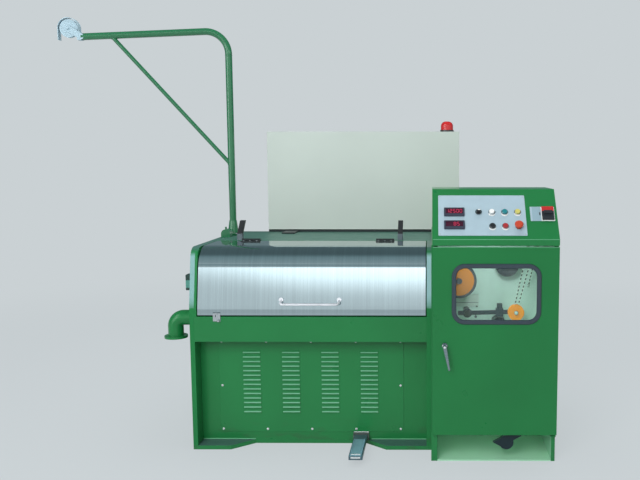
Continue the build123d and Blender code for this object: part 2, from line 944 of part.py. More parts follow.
# Wire inlet guide on the left side: plate, stub and eyelet block with one bore
with BuildPart() as inlet_guide:
    with BuildSketch(Plane.YZ.offset(body_left)):
        with Locations((inlet_y, inlet_z)):
            RectangleRounded(inlet_plate, inlet_plate, stop_round)
    extrude(amount=-inlet_plate_t)
    with BuildSketch(Plane.YZ.offset(body_left)):
        with Locations((inlet_y, inlet_z)):
            Circle(inlet_stub_r)
    extrude(amount=-inlet_reach)
    with BuildSketch(Plane.YZ.offset(body_left - inlet_reach)):
        with Locations((inlet_y, inlet_z)):
            RectangleRounded(inlet_block_w, inlet_plate, stop_round)
    extrude(amount=inlet_block_t)
    with BuildSketch(Plane.YZ.offset(body_left)):
        with Locations((inlet_y, inlet_z)):
            Circle(inlet_eye_r)
    extrude(amount=-inlet_reach, mode=Mode.SUBTRACT)
finish(inlet_guide, "wire_inlet_guide")

# Foot pedal: bracket with its pin, channel arm and tread
pedal_x = body_right - pedal_x_from_right
pedal_axis_y = recess_y - pedal_pivot_out
pedal_front = pedal_axis_y - pedal_len
ear_x = pedal_w / 2 + pedal_t + pedal_side_gap
with BuildPart() as pedal_bracket:
    with BuildSketch(Plane.XZ.offset(-recess_y)):
        with Locations((pedal_x, base_t + pedal_bracket_h / 2)):
            Rectangle(2 * (ear_x + pedal_bracket_t), pedal_bracket_h)
    extrude(amount=pedal_bracket_t)
    for x in (pedal_x - ear_x - pedal_bracket_t, pedal_x + ear_x):
        with BuildSketch(Plane.YZ.offset(x)):
            with Locations((pedal_axis_y, pedal_pivot_z)):
                Circle(pedal_hub_r)
            with Locations(((pedal_axis_y + recess_y) / 2, pedal_pivot_z)):
                Rectangle(pedal_pivot_out, 2 * pedal_hub_r)
        extrude(amount=pedal_bracket_t)
    with BuildSketch(Plane.YZ.offset(pedal_x - ear_x - pedal_bracket_t)):
        with Locations((pedal_axis_y, pedal_pivot_z)):
            Circle(pedal_pin_r)
    extrude(amount=2 * (ear_x + pedal_bracket_t))
finish(pedal_bracket, "pedal_bracket")

pedal_under = pedal_top - pedal_side_h
hollow_front = pedal_front + pedal_t
hollow_back = pedal_axis_y + pedal_hub_r
with BuildPart() as foot_pedal:
    with BuildSketch(Plane.YZ.offset(pedal_x - pedal_w / 2 - pedal_t)):
        with Locations((pedal_axis_y, pedal_pivot_z)):
            Circle(pedal_hub_r)
        with Locations(((pedal_front + pedal_axis_y) / 2, (pedal_under + pedal_top) / 2)):
            Rectangle(pedal_axis_y - pedal_front, pedal_side_h)
    extrude(amount=pedal_w + 2 * pedal_t)
    with BuildSketch(Plane.YZ.offset(pedal_x - pedal_w / 2)):
        with Locations(((hollow_front + hollow_back) / 2, pedal_top - pedal_t - pedal_side_h)):
            Rectangle(hollow_back - hollow_front, 2 * pedal_side_h)
    extrude(amount=pedal_w, mode=Mode.SUBTRACT)
    with BuildSketch(Plane.YZ.offset(pedal_x - ear_x)):
        with Locations((pedal_axis_y, pedal_pivot_z)):
            Circle(pedal_pin_r + hinge_fit)
    extrude(amount=2 * ear_x, mode=Mode.SUBTRACT)
finish(foot_pedal, "foot_pedal")

with BuildPart() as pedal_pad:
    with BuildSketch(Plane.XY.offset(pedal_top)):
        with Locations((pedal_x, pedal_front + pedal_pad_len / 2)):
            Rectangle(pedal_w, pedal_pad_len)
    extrude(amount=pedal_pad_t)
finish(pedal_pad, "pedal_tread")

# Electrical cabinet on a rail with a front tab and two brackets, and the signal beacon
elec_x0 = body_left + elec_left
elec_x1 = elec_x0 + elec_w
elec_mid_x = (elec_x0 + elec_x1) / 2
elec_front = body_back - elec_front_inset
elec_back = elec_front + elec_d
with BuildPart() as elec_cabinet:
    with BuildSketch(Plane.XY.offset(elec_low)):
        with Locations((elec_mid_x, (elec_front + elec_back) / 2)):
            Rectangle(elec_w, elec_d)
    extrude(amount=elec_h)
    with BuildSketch(Plane.XZ.offset(-elec_back)):
        with Locations((elec_mid_x, elec_low + elec_h / 2)):
            Rectangle(elec_w - 2 * elec_t, elec_h - 2 * elec_t)
    extrude(amount=elec_d - elec_t, mode=Mode.SUBTRACT)
finish(elec_cabinet, "electrical_cabinet")

with BuildPart() as elec_door:
    with BuildSketch(Plane.XZ.offset(-elec_back)):
        with Locations((elec_mid_x, elec_low + elec_h / 2)):
            Rectangle(elec_w, elec_h)
    extrude(amount=-elec_door_t)
finish(elec_door, "electrical_cabinet_door")

bracket_spots = (elec_x0 + elec_bracket_left, elec_x1 - elec_bracket_right)
with BuildPart() as elec_brackets:
    for x in bracket_spots:
        with BuildSketch(Plane.YZ.offset(x - elec_bracket_w / 2)):
            with BuildLine():
                Polyline(
                    (elec_front + elec_foot_setback, elec_low),
                    (elec_front + elec_foot_setback, body_h),
                    (body_back, body_h),
                    (body_back, body_h - elec_bracket_h),
                    (body_back + elec_bracket_t, body_h - elec_bracket_h),
                    (body_back + elec_bracket_reach, elec_low - elec_bracket_t),
                    (body_back + elec_bracket_reach, elec_low),
                    close=True,
                )
            make_face()
        extrude(amount=elec_bracket_w)
    with BuildSketch(Plane.XY.offset(body_h)):
        with Locations((elec_mid_x, (elec_front + elec_foot_setback + body_back) / 2)):
            Rectangle(elec_w, body_back - elec_front - elec_foot_setback)
    extrude(amount=elec_lift)
    with BuildSketch(Plane.XY.offset(body_h)):
        with Locations((elec_x0 + elec_tab_left, elec_front + elec_foot_setback - elec_tab_reach / 2)):
            Rectangle(elec_tab_w, elec_tab_reach)
    extrude(amount=elec_tab_t)
finish(elec_brackets, "cabinet_brackets")

elec_top = elec_low + elec_h
beacon_x = elec_x1 - beacon_from_right
beacon_y = (elec_front + elec_back) / 2
beacon_plane = Plane(origin=(beacon_x, beacon_y, elec_top), x_dir=(1, 0, 0), z_dir=(0, -1, 0))
with BuildPart() as beacon:
    with BuildSketch(beacon_plane):
        with BuildLine():
            Polyline(
                (0, beacon_h),
                (0, 0),
                (beacon_r + beacon_lip, 0),
                (beacon_r + beacon_lip, beacon_base_h),
                (beacon_r, beacon_base_h),
                (beacon_r, beacon_h - beacon_round),
            )
            dome = TangentArc(
                (beacon_r, beacon_h - beacon_round), (beacon_r - beacon_round, beacon_h), tangent=(0, 1)
            )
            Line(dome @ 1, (0, beacon_h))
        make_face()
    revolve(axis=Axis((beacon_x, beacon_y, elec_top), (0, 0, 1)))
finish(beacon, "beacon")

# Take-up cabinet: side walls that stand on the floor, back, top, floor pan and inner panel
cab_in_left = cab_left + cab_left_t
cab_in_right = cab_right - cab_right_t
cab_roof = cab_h - cab_sheet
cab_mid_x = (cab_in_left + cab_in_right) / 2
cab_in_w = cab_in_right - cab_in_left
cab_mid_y = (cab_wall_y + cab_back) / 2
cab_d = cab_back - cab_wall_y
with BuildPart() as cabinet_sides:
    with BuildSketch():
        with Locations(((cab_left + cab_in_left) / 2, cab_mid_y)):
            Rectangle(cab_left_t, cab_d)
        with Locations(((cab_in_right + cab_right) / 2, cab_mid_y)):
            Rectangle(cab_right_t, cab_d)
    extrude(amount=cab_roof)
finish(cabinet_sides, "cabinet_sides")

with BuildPart() as cabinet_shell:
    with BuildSketch(Plane.XY.offset(cab_roof)):
        with Locations(((cab_left + cab_right) / 2, cab_mid_y)):
            Rectangle(cab_w, cab_d)
    extrude(amount=cab_sheet)
    with BuildSketch():
        with Locations((cab_mid_x, cab_back - cab_sheet / 2)):
            Rectangle(cab_in_w, cab_sheet)
    extrude(amount=cab_roof)
finish(cabinet_shell, "cabinet_top_and_back")

with BuildPart() as cabinet_liner:
    with BuildSketch():
        with Locations((cab_mid_x, (cab_wall_y + bay_y) / 2)):
            Rectangle(cab_in_w, bay_y - cab_wall_y)
    extrude(amount=cab_floor_t)
    with BuildSketch():
        with Locations((cab_mid_x, bay_y + cab_sheet / 2)):
            Rectangle(cab_in_w, cab_sheet)
    extrude(amount=cab_roof)
finish(cabinet_liner, "cabinet_liner")

# Pivot lugs with the door's pins, above and below the door
door_lug_x = (door_axis_x + door_right - door_lug_w) / 2
door_lug_y = (cab_front + cab_wall_y) / 2
with BuildPart() as door_pivots:
    with BuildSketch(Plane.XY.offset(cab_h - door_lug_t)):
        with Locations((door_lug_x, door_lug_y)):
            Rectangle(door_lug_w, cab_wall_y - cab_front)
    extrude(amount=door_lug_t)
    with BuildSketch(Plane.XY.offset(door_low - door_gap - door_lug_t)):
        with Locations((door_lug_x, door_lug_y)):
            Rectangle(door_lug_w, cab_wall_y - cab_front)
    extrude(amount=door_lug_t)
    with BuildSketch(Plane.XY.offset(door_high - door_pin_len)):
        with Locations((door_axis_x, door_axis_y)):
            Circle(door_pin_r)
    extrude(amount=cab_h - door_high + door_pin_len - door_lug_t)
    with BuildSketch(Plane.XY.offset(door_low - door_gap)):
        with Locations((door_axis_x, door_axis_y)):
            Circle(door_pin_r)
    extrude(amount=door_gap + door_pin_len)
finish(door_pivots, "door_pivots")

# Door: a tray-shaped leaf with a rounded window opening
lever_x = door_left + lever_from_left
lever_low_x = lever_x + lever_len * sin(radians(lever_tilt))
lever_low_z = lever_z - lever_len * cos(radians(lever_tilt))
window_left = door_left + window_from_left
window_x = window_left + window_w / 2
window_z = window_low + window_h / 2
cut_w = window_w - 2 * gasket_lap
cut_h = window_h - 2 * gasket_lap
door_x = (door_left + door_right) / 2
door_z = (door_low + door_high) / 2
door_w = door_right - door_left
door_h = door_high - door_low
with BuildPart() as cabinet_door:
    with BuildSketch(Plane.XZ.offset(-cab_front)):
        with Locations((door_x, door_z)):
            Rectangle(door_w, door_h)
    extrude(amount=-door_t)
    with BuildSketch(Plane.XZ.offset(-(cab_front + door_skin))):
        with Locations((door_x, door_z)):
            Rectangle(door_w - 2 * door_rim, door_h - 2 * door_rim)
    extrude(amount=-(door_t - door_skin), mode=Mode.SUBTRACT)
    with BuildSketch(Plane.XZ.offset(-cab_front)):
        with Locations((window_x, window_z)):
            RectangleRounded(cut_w, cut_h, window_r - gasket_lap)
        with Locations((lever_x, lever_z)):
            Circle(lever_r + lever_fit)
    extrude(amount=-door_skin, mode=Mode.SUBTRACT)
    for z in (door_low, door_high - door_pin_len):
        with BuildSketch(Plane.XY.offset(z)):
            with Locations((door_axis_x, door_axis_y)):
                Circle(door_pin_r + door_pin_fit)
        extrude(amount=door_pin_len, mode=Mode.SUBTRACT)
finish(cabinet_door, "cabinet_door")

with BuildPart() as window_gasket:
    with BuildSketch(Plane.XZ.offset(-cab_front)):
        with Locations((window_x, window_z)):
            RectangleRounded(window_w, window_h, window_r)
            RectangleRounded(
                window_w - 2 * gasket_w, window_h - 2 * gasket_w, window_r - gasket_w, mode=Mode.SUBTRACT
            )
    extrude(amount=gasket_proud)
    chamfer(window_gasket.faces().sort_by(Axis.Y)[0].edges(), length=gasket_round)
    with BuildSketch(Plane.XZ.offset(-cab_front)):
        with Locations((window_x, window_z)):
            RectangleRounded(cut_w, cut_h, window_r - gasket_lap)
            RectangleRounded(
                window_w - 2 * gasket_w, window_h - 2 * gasket_w, window_r - gasket_w, mode=Mode.SUBTRACT
            )
    extrude(amount=-door_skin)
finish(window_gasket, "window_gasket")

with BuildPart() as window_glass:
    with BuildSketch(Plane.XZ.offset(-(cab_front + door_skin))):
        with Locations((window_x, window_z)):
            RectangleRounded(window_w, window_h, window_r)
    extrude(amount=-glass_t)
finish(window_glass, "window_glass")

# Door lever: grip and collar in front, spindle through the skin, washer behind it
with BuildPart() as door_lever:
    with BuildSketch(Plane.XZ.offset(-(cab_front + door_skin + lever_gap + lever_washer_t))):
        with Locations((lever_x, lever_z)):
            Circle(lever_rose_r)
    extrude(amount=lever_washer_t)
    with BuildSketch(Plane.XZ.offset(-(cab_front + door_skin + lever_gap))):
        with Locations((lever_x, lever_z)):
            Circle(lever_r)
    extrude(amount=door_skin + 2 * lever_gap + lever_rose_t + lever_stand)
    with BuildSketch(Plane.XZ.offset(lever_gap - cab_front)):
        with Locations((lever_x, lever_z)):
            Circle(lever_rose_r)
    extrude(amount=lever_rose_t)
    with BuildSketch(Plane.XZ.offset(lever_gap + lever_rose_t + lever_stand - cab_front)):
        with Locations((lever_x, lever_z)):
            Circle(lever_head_r)
        with BuildLine():
            Polyline(
                (lever_x - lever_head_r, lever_z),
                (lever_x + lever_head_r, lever_z),
                (lever_low_x + lever_tip_r, lever_low_z),
                (lever_low_x - lever_tip_r, lever_low_z),
                close=True,
            )
        make_face()
        with Locations((lever_low_x, lever_low_z)):
            Circle(lever_tip_r)
    extrude(amount=lever_t)
    chamfer(door_lever.faces().sort_by(Axis.Y)[0].edges(), length=lever_edge)
finish(door_lever, "door_lever")

# Sloped console, with its face plane for everything that is set into it
console_left = cab_left + door_left_gap - 1.0
console_right = door_right
slope_len = hypot(console_rise, console_set)
slope_normal = (0, -console_rise / slope_len, console_set / slope_len)
face_plane = Plane(origin=(cab_left, cab_front, console_z), x_dir=(1, 0, 0), z_dir=slope_normal)
with BuildPart() as console:
    with BuildSketch(Plane.YZ.offset(console_left)):
        with BuildLine():
            Polyline(
                (cab_front, cab_h),
                (cab_front, console_z),
                (cab_front + console_set, console_z + console_rise),
                (cab_front + console_set + console_top_d, console_z + console_rise),
                (cab_front + console_set + console_top_d, cab_h),
                close=True,
            )
        make_face()
    extrude(amount=console_right - console_left)
    fillet(
        console.edges().filter_by(Axis.X).group_by(Axis.Z)[-1].sort_by(Axis.Y)[:1], radius=console_round
    )
    offset(amount=-console_t, openings=console.faces().sort_by(Axis.Z)[0])
finish(console, "control_console")


def on_face(out=0.0):
    """The console's face plane, moved out by a distance."""
    return face_plane.offset(out)


plate_x = plate_margin_left + plate_w / 2
plate_s = plate_low + plate_h / 2
with BuildPart() as face_plate:
    with BuildSketch(on_face()):
        with Locations((plate_x, plate_s)):
            RectangleRounded(plate_w, plate_h, plate_round)
        with Locations((breaker_x, breaker_s)):
            Rectangle(breaker_w, breaker_h)
    extrude(amount=plate_t)
finish(face_plate, "console_face_plates")

with BuildPart() as meters:
    with BuildSketch(on_face(plate_t)):
        with Locations((meter_x, meter_high), (meter_x, meter_down)):
            RectangleRounded(meter_w, meter_h, plate_round)
    extrude(amount=meter_t)
    with BuildSketch(on_face(plate_t + meter_t)):
        with Locations((meter_x, meter_high), (meter_x, meter_down)):
            Rectangle(meter_w - 2 * meter_frame, meter_h - 2 * meter_frame)
    extrude(amount=-meter_recess, mode=Mode.SUBTRACT)
finish(meters, "panel_meters")

# Push buttons: a bezel ring on the plate and a cap that slides in it
button_spots = {
    "button_white": (button_col_a, button_row_high),
    "button_teal": (button_col_b, button_row_high),
    "button_yellow": (button_col_c, button_row_high),
    "button_black": (button_col_a, button_row_low),
    "button_red": (button_col_b, button_row_low),
}
selector_spot = (button_col_0, button_row_high)
estop_spot = (button_col_c, estop_row)
with BuildPart() as bezels:
    with BuildSketch(on_face(plate_t)):
        with Locations(*button_spots.values()):
            Circle(bezel_r)
            Circle(button_r + button_fit, mode=Mode.SUBTRACT)
        with Locations(selector_spot, estop_spot):
            Circle(bezel_r)
            Circle(estop_neck_r + button_fit, mode=Mode.SUBTRACT)
    extrude(amount=bezel_h)
finish(bezels, "button_bezels")

for name, spot in button_spots.items():
    with BuildPart() as button:
        with BuildSketch(on_face(plate_t + button_travel + button_floor_gap)):
            with Locations(spot):
                Circle(button_r)
        extrude(amount=button_h)
        chamfer(button.edges().filter_by(GeomType.CIRCLE).sort_by(Axis.Z)[-1], length=button_round)
    finish(button, name)

with BuildPart() as selector:
    with BuildSketch(on_face(plate_t + button_floor_gap)):
        with Locations(selector_spot):
            Circle(estop_neck_r)
    extrude(amount=bezel_h)
    with BuildSketch(on_face(plate_t + button_floor_gap + bezel_h)):
        with Locations(selector_spot):
            SlotOverall(2 * estop_neck_r - selector_inset, selector_w)
    extrude(amount=selector_h)
finish(selector, "selector_switch")

with BuildPart() as estop:
    with BuildSketch(on_face(plate_t + button_travel + button_floor_gap)):
        with Locations(estop_spot):
            Circle(estop_neck_r)
    extrude(amount=estop_h - estop_cap_h)
    with BuildSketch(on_face(plate_t + button_travel + button_floor_gap + estop_h - estop_cap_h)):
        with Locations(estop_spot):
            Circle(estop_r)
    extrude(amount=estop_cap_h)
    chamfer(estop.edges().filter_by(GeomType.CIRCLE).sort_by(Axis.Z)[-1], length=estop_round)
finish(estop, "emergency_stop")

# Two pole breaker
with BuildPart() as breaker:
    with BuildSketch(on_face(plate_t)):
        with Locations((breaker_x + breaker_shift, breaker_s)):
            Rectangle(breaker_body_w, breaker_body_h)
    extrude(amount=breaker_body_t)
    with BuildSketch(on_face(plate_t + breaker_body_t)):
        with Locations((breaker_x + breaker_shift, breaker_s)):
            Rectangle(breaker_bump_w, breaker_bump_h)
    extrude(amount=breaker_body_t)
finish(breaker, "breaker")

# Shafts for the guide wheel and the dancer inside the cabinet
wheel_cx = cab_left + wheel_x
wheel_y = bay_y - wheel_ahead
dancer_cx = cab_left + dancer_x
dancer_y = bay_y - dancer_ahead
shaft_stops = (
    (wheel_cx, wheel_z, wheel_ahead, wheel_w / 2),
    (dancer_cx, dancer_z, dancer_ahead, dancer_t / 2),
)
with BuildPart() as shafts:
    for x, z, ahead, half in shaft_stops:
        with BuildSketch(Plane.XZ.offset(-bay_y)):
            with Locations((x, z)):
                Circle(2 * shaft_r)
        extrude(amount=ahead - half - shaft_side_gap)
        with BuildSketch(Plane.XZ.offset(-bay_y)):
            with Locations((x, z)):
                Circle(shaft_r)
        extrude(amount=ahead + half + shaft_side_gap)
        with BuildSketch(Plane.XZ.offset(-(bay_y - ahead - half - shaft_side_gap))):
            with Locations((x, z)):
                Circle(wheel_hub_r)
        extrude(amount=shaft_cap_t)
finish(shafts, "inner_shafts")

with BuildPart() as wheel_disc:
    with BuildSketch(Plane.XZ.offset(-(wheel_y + wheel_w / 2))):
        with Locations((wheel_cx, wheel_z)):
            Circle(wheel_disc_r)
            Circle(shaft_r + shaft_fit, mode=Mode.SUBTRACT)
    extrude(amount=wheel_w)
finish(wheel_disc, "guide_wheel_disc")

with BuildPart() as wheel_rim:
    add(grooved_wheel(wheel_r, wheel_disc_r, wheel_w, wheel_groove, (wheel_cx, wheel_y, wheel_z)))
finish(wheel_rim, "guide_wheel_rim")

# Dancer: weighted arm and pulley
dancer_tip_x = dancer_cx + dancer_len
dancer_tip_z = dancer_z + dancer_rise
dancer_angle = degrees(atan2(dancer_rise, dancer_len))
dancer_span = hypot(dancer_len, dancer_rise)
dancer_shift = (dancer_span - dancer_tail) / 2
dancer_mid = (
    dancer_cx + dancer_shift * cos(radians(dancer_angle)),
    dancer_z + dancer_shift * sin(radians(dancer_angle)),
)
with BuildPart() as dancer_arm:
    with BuildSketch(Plane.XZ.offset(-(dancer_y + dancer_t / 2))):
        with Locations((dancer_cx, dancer_z)):
            Circle(dancer_hub_r)
        with Locations((dancer_tip_x, dancer_tip_z)):
            Circle(dancer_bar / 2)
        with Locations(Location((*dancer_mid, 0), dancer_angle)):
            Rectangle(dancer_span + dancer_tail, dancer_bar)
        with Locations((dancer_cx, dancer_z)):
            Circle(shaft_r + shaft_fit, mode=Mode.SUBTRACT)
    extrude(amount=dancer_t)
    with BuildSketch(Plane.XZ.offset(-(dancer_y - dancer_t / 2))):
        with Locations((dancer_tip_x, dancer_tip_z)):
            Circle(pulley_axle_r)
    extrude(amount=roller_w + 2 * shaft_side_gap)
    with BuildSketch(Plane.XZ.offset(-(dancer_y - dancer_t / 2 - roller_w - 2 * shaft_side_gap))):
        with Locations((dancer_tip_x, dancer_tip_z)):
            Circle(roller_cap_r)
    extrude(amount=shaft_cap_t / 2)
finish(dancer_arm, "dancer_arm")

weight_x = dancer_cx + weight_from_pivot
weight_zc = dancer_z + weight_from_pivot * dancer_rise / dancer_len
with BuildPart() as dancer_weight:
    with BuildSketch(Plane.XZ.offset(-(dancer_y + weight_t / 2))):
        with Locations((weight_x, weight_zc + weight_up - weight_step_h / 2)):
            Rectangle(weight_w, weight_h - weight_step_h)
        with Locations((weight_x, weight_zc + weight_up + (weight_h - weight_step_h) / 2)):
            Rectangle(weight_step_w, weight_step_h)
    extrude(amount=weight_t)
    add(dancer_arm.part, mode=Mode.SUBTRACT)
finish(dancer_weight, "dancer_weight")

roller_y = dancer_y - dancer_t / 2 - shaft_side_gap - roller_w / 2
with BuildPart() as dancer_pulley:
    roller_centre = (dancer_tip_x, roller_y, dancer_tip_z)
    add(grooved_wheel(roller_r, pulley_bore, roller_w, roller_groove, roller_centre))
finish(dancer_pulley, "dancer_pulley")

# Bearing bracket, traverse lug, spindle boss and the clamp low in the bay
clamp_cx = cab_left + clamp_piece_x
clamp_piece_y = cab_wall_y + clamp_piece_set
with BuildPart() as inner_brackets:
    with BuildSketch(Plane.XZ.offset(-bay_y)):
        with Locations((cab_left + bracket_x, bracket_z)):
            Rectangle(bracket_w, bracket_h)
        with Locations((dancer_cx, dancer_z)):
            Circle(2 * shaft_r, mode=Mode.SUBTRACT)
    extrude(amount=bracket_t)
    with BuildSketch(Plane.XZ.offset(-bay_y)):
        with Locations((cab_left + lug_x, lug_z)):
            Circle(lug_r)
        with Locations((cab_left + lug_x + lug_r / 2, lug_z + lug_r / 2)):
            Rectangle(lug_r, lug_r)
    extrude(amount=lug_t)
    with BuildSketch(Plane.XZ.offset(-bay_y)):
        with Locations((cab_left + spindle_x, spindle_z)):
            Circle(spindle_r)
    extrude(amount=spindle_t)
    with BuildSketch(Plane.XZ.offset(-bay_y)):
        with Locations((clamp_cx, clamp_piece_z)):
            Circle(clamp_rod_r)
    extrude(amount=bay_y - clamp_piece_y - clamp_piece_t)
    with BuildSketch(Plane.XZ.offset(-clamp_piece_y)):
        with Locations((clamp_cx, clamp_piece_z)):
            Circle(clamp_piece_r)
        with BuildLine():
            Polyline(
                (clamp_cx, clamp_piece_z + clamp_piece_r),
                (clamp_cx - clamp_point, clamp_piece_z),
                (clamp_cx, clamp_piece_z - clamp_piece_r),
                close=True,
            )
        make_face()
        with BuildLine():
            Polyline(
                (clamp_cx, clamp_piece_z - clamp_lever_w / 2),
                (clamp_cx + clamp_lever_x, clamp_piece_z + clamp_lever_z - clamp_lever_w / 2),
                (clamp_cx + clamp_lever_x, clamp_piece_z + clamp_lever_z + clamp_lever_w / 2),
                (clamp_cx, clamp_piece_z + clamp_piece_r),
                close=True,
            )
        make_face()
    extrude(amount=-clamp_piece_t)
finish(inner_brackets, "inner_brackets")
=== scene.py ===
# Looks of the wire drawing machine: finishes, fasteners, meters, wires, floor, lamps and camera.
# Lengths are metres in the machine's own frame: X to the right, Y away from the operator, Z up.
import logging
from collections.abc import Sequence
from dataclasses import dataclass
from enum import Enum
from functools import cached_property
from math import atan2, cos, pi, radians, tan
from typing import Any

import bmesh
import bpy
import numpy as np
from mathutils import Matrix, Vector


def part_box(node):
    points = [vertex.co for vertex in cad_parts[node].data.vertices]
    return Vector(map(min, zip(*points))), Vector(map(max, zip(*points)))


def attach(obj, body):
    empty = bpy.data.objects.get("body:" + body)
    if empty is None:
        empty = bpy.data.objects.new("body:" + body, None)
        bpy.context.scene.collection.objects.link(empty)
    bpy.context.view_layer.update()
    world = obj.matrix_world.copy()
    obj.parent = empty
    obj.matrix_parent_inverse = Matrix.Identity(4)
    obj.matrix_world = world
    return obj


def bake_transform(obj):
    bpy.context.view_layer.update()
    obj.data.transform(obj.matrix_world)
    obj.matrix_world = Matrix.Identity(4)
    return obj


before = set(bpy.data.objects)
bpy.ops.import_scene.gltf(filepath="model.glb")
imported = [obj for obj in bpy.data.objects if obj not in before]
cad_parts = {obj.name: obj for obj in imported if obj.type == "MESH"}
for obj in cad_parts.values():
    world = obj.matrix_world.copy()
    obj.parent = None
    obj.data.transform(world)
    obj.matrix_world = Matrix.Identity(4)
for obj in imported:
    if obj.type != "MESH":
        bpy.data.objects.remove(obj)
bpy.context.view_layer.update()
NODES: dict[str, bpy.types.Object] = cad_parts
LOG = logging.getLogger("wire_drawing_machine")
Array = np.ndarray
Colour = tuple[float, float, float, float]
Row = Sequence[float]
Rows = Sequence[Row]
Values = dict[str | int, Any]

X = np.array([1.0, 0.0, 0.0])
Y = np.array([0.0, 1.0, 0.0])
Z = np.array([0.0, 0.0, 1.0])
UPRIGHT = np.stack([X, Y, Z])
FACING_FRONT = np.stack([X, Z, -Y])
FACING_BACK = np.stack([-X, Z, Y])
FACING_LEFT = np.stack([-Y, Z, -X])


class Axis(Enum):
    """The frame's directions, with their place in a vector."""

    X = 0
    Y = 1
    Z = 2


class Body(Enum):
    """The moving groups of the machine that new pieces ride on."""

    MACHINE = "machine"
    COVER = "cover"
    DOOR = "door"
    LEVER = "lever"
    PEDAL = "pedal"
    DANCER = "dancer"
    SELECTOR = "selector"


def screen(red: float, green: float, blue: float) -> Colour:
    """Turn a colour as a screen shows it, 0 to 255, into the linear colour that shaders use.

    Args:
        red: Red part.
        green: Green part.
        blue: Blue part.

    Returns:
        The linear colour with an alpha of 1.
    """
    shares = (np.array([red, green, blue]) / 255.0 + 0.055) / 1.055
    linear = np.where(shares < 0.09, shares * 0.0774, shares**2.4)
    return (float(linear[0]), float(linear[1]), float(linear[2]), 1.0)


def shaded(colour: Colour, share: float) -> Colour:
    """Make a colour darker or lighter by a factor on its three parts, each at most 1."""
    red, green, blue = (min(1.0, share * part) for part in colour[:3])
    return (red, green, blue, 1.0)


def box(node: str) -> tuple[Array, Array]:
    """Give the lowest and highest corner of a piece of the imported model."""
    low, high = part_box(node)
    return np.array(low), np.array(high)


class Signal:
    """A shader number that varies over a surface; arithmetic on it adds Math nodes."""

    def __init__(self, graph: "Graph", socket: bpy.types.NodeSocket) -> None:
        """Keep the graph and the output socket that holds the number."""
        self.graph = graph
        self.socket = socket

    def _math(self, operation: str, *terms: "Signal | float") -> "Signal":
        """Add a Math node on the given terms and return its result."""
        made = self.graph.node("Math", dict(enumerate(terms)), operation=operation)
        return Signal(self.graph, made.outputs[0])

    def __add__(self, other: "Signal | float") -> "Signal":
        """Add."""
        return self._math("ADD", self, other)

    __radd__ = __add__

    def __sub__(self, other: "Signal | float") -> "Signal":
        """Subtract."""
        return self._math("SUBTRACT", self, other)

    def __rsub__(self, other: float) -> "Signal":
        """Subtract from a plain number."""
        return self._math("SUBTRACT", other, self)

    def __mul__(self, other: "Signal | float") -> "Signal":
        """Multiply."""
        return self._math("MULTIPLY", self, other)

    __rmul__ = __mul__

    def between(self, low: float, high: float) -> "Signal":
        """Rise smoothly from 0 to 1 between two values, or fall where the first is the greater.

        Args:
            low: Value at which the result is 0.
            high: Value at which the result is 1.

        Returns:
            The share, from 0 to 1.
        """
        if low > high:
            return 1.0 - self.between(high, low)
        ends = {"Value": self, "From Min": low, "From Max": high}
        made = self.graph.node("MapRange", ends, interpolation_type="SMOOTHSTEP")
        return Signal(self.graph, made.outputs["Result"])

    def size(self) -> "Signal":
        """Drop the sign."""
        return self._math("ABSOLUTE", self)

    def wave(self) -> "Signal":
        """Turn an angle into a wave from 0 to 1: half plus half of its sine."""
        return 0.5 + 0.5 * self._math("SINE", self)

    def angle(self, across: "Signal") -> "Signal":
        """Give the angle whose tangent is this number over another one."""
        return self._math("ARCTAN2", self, across)


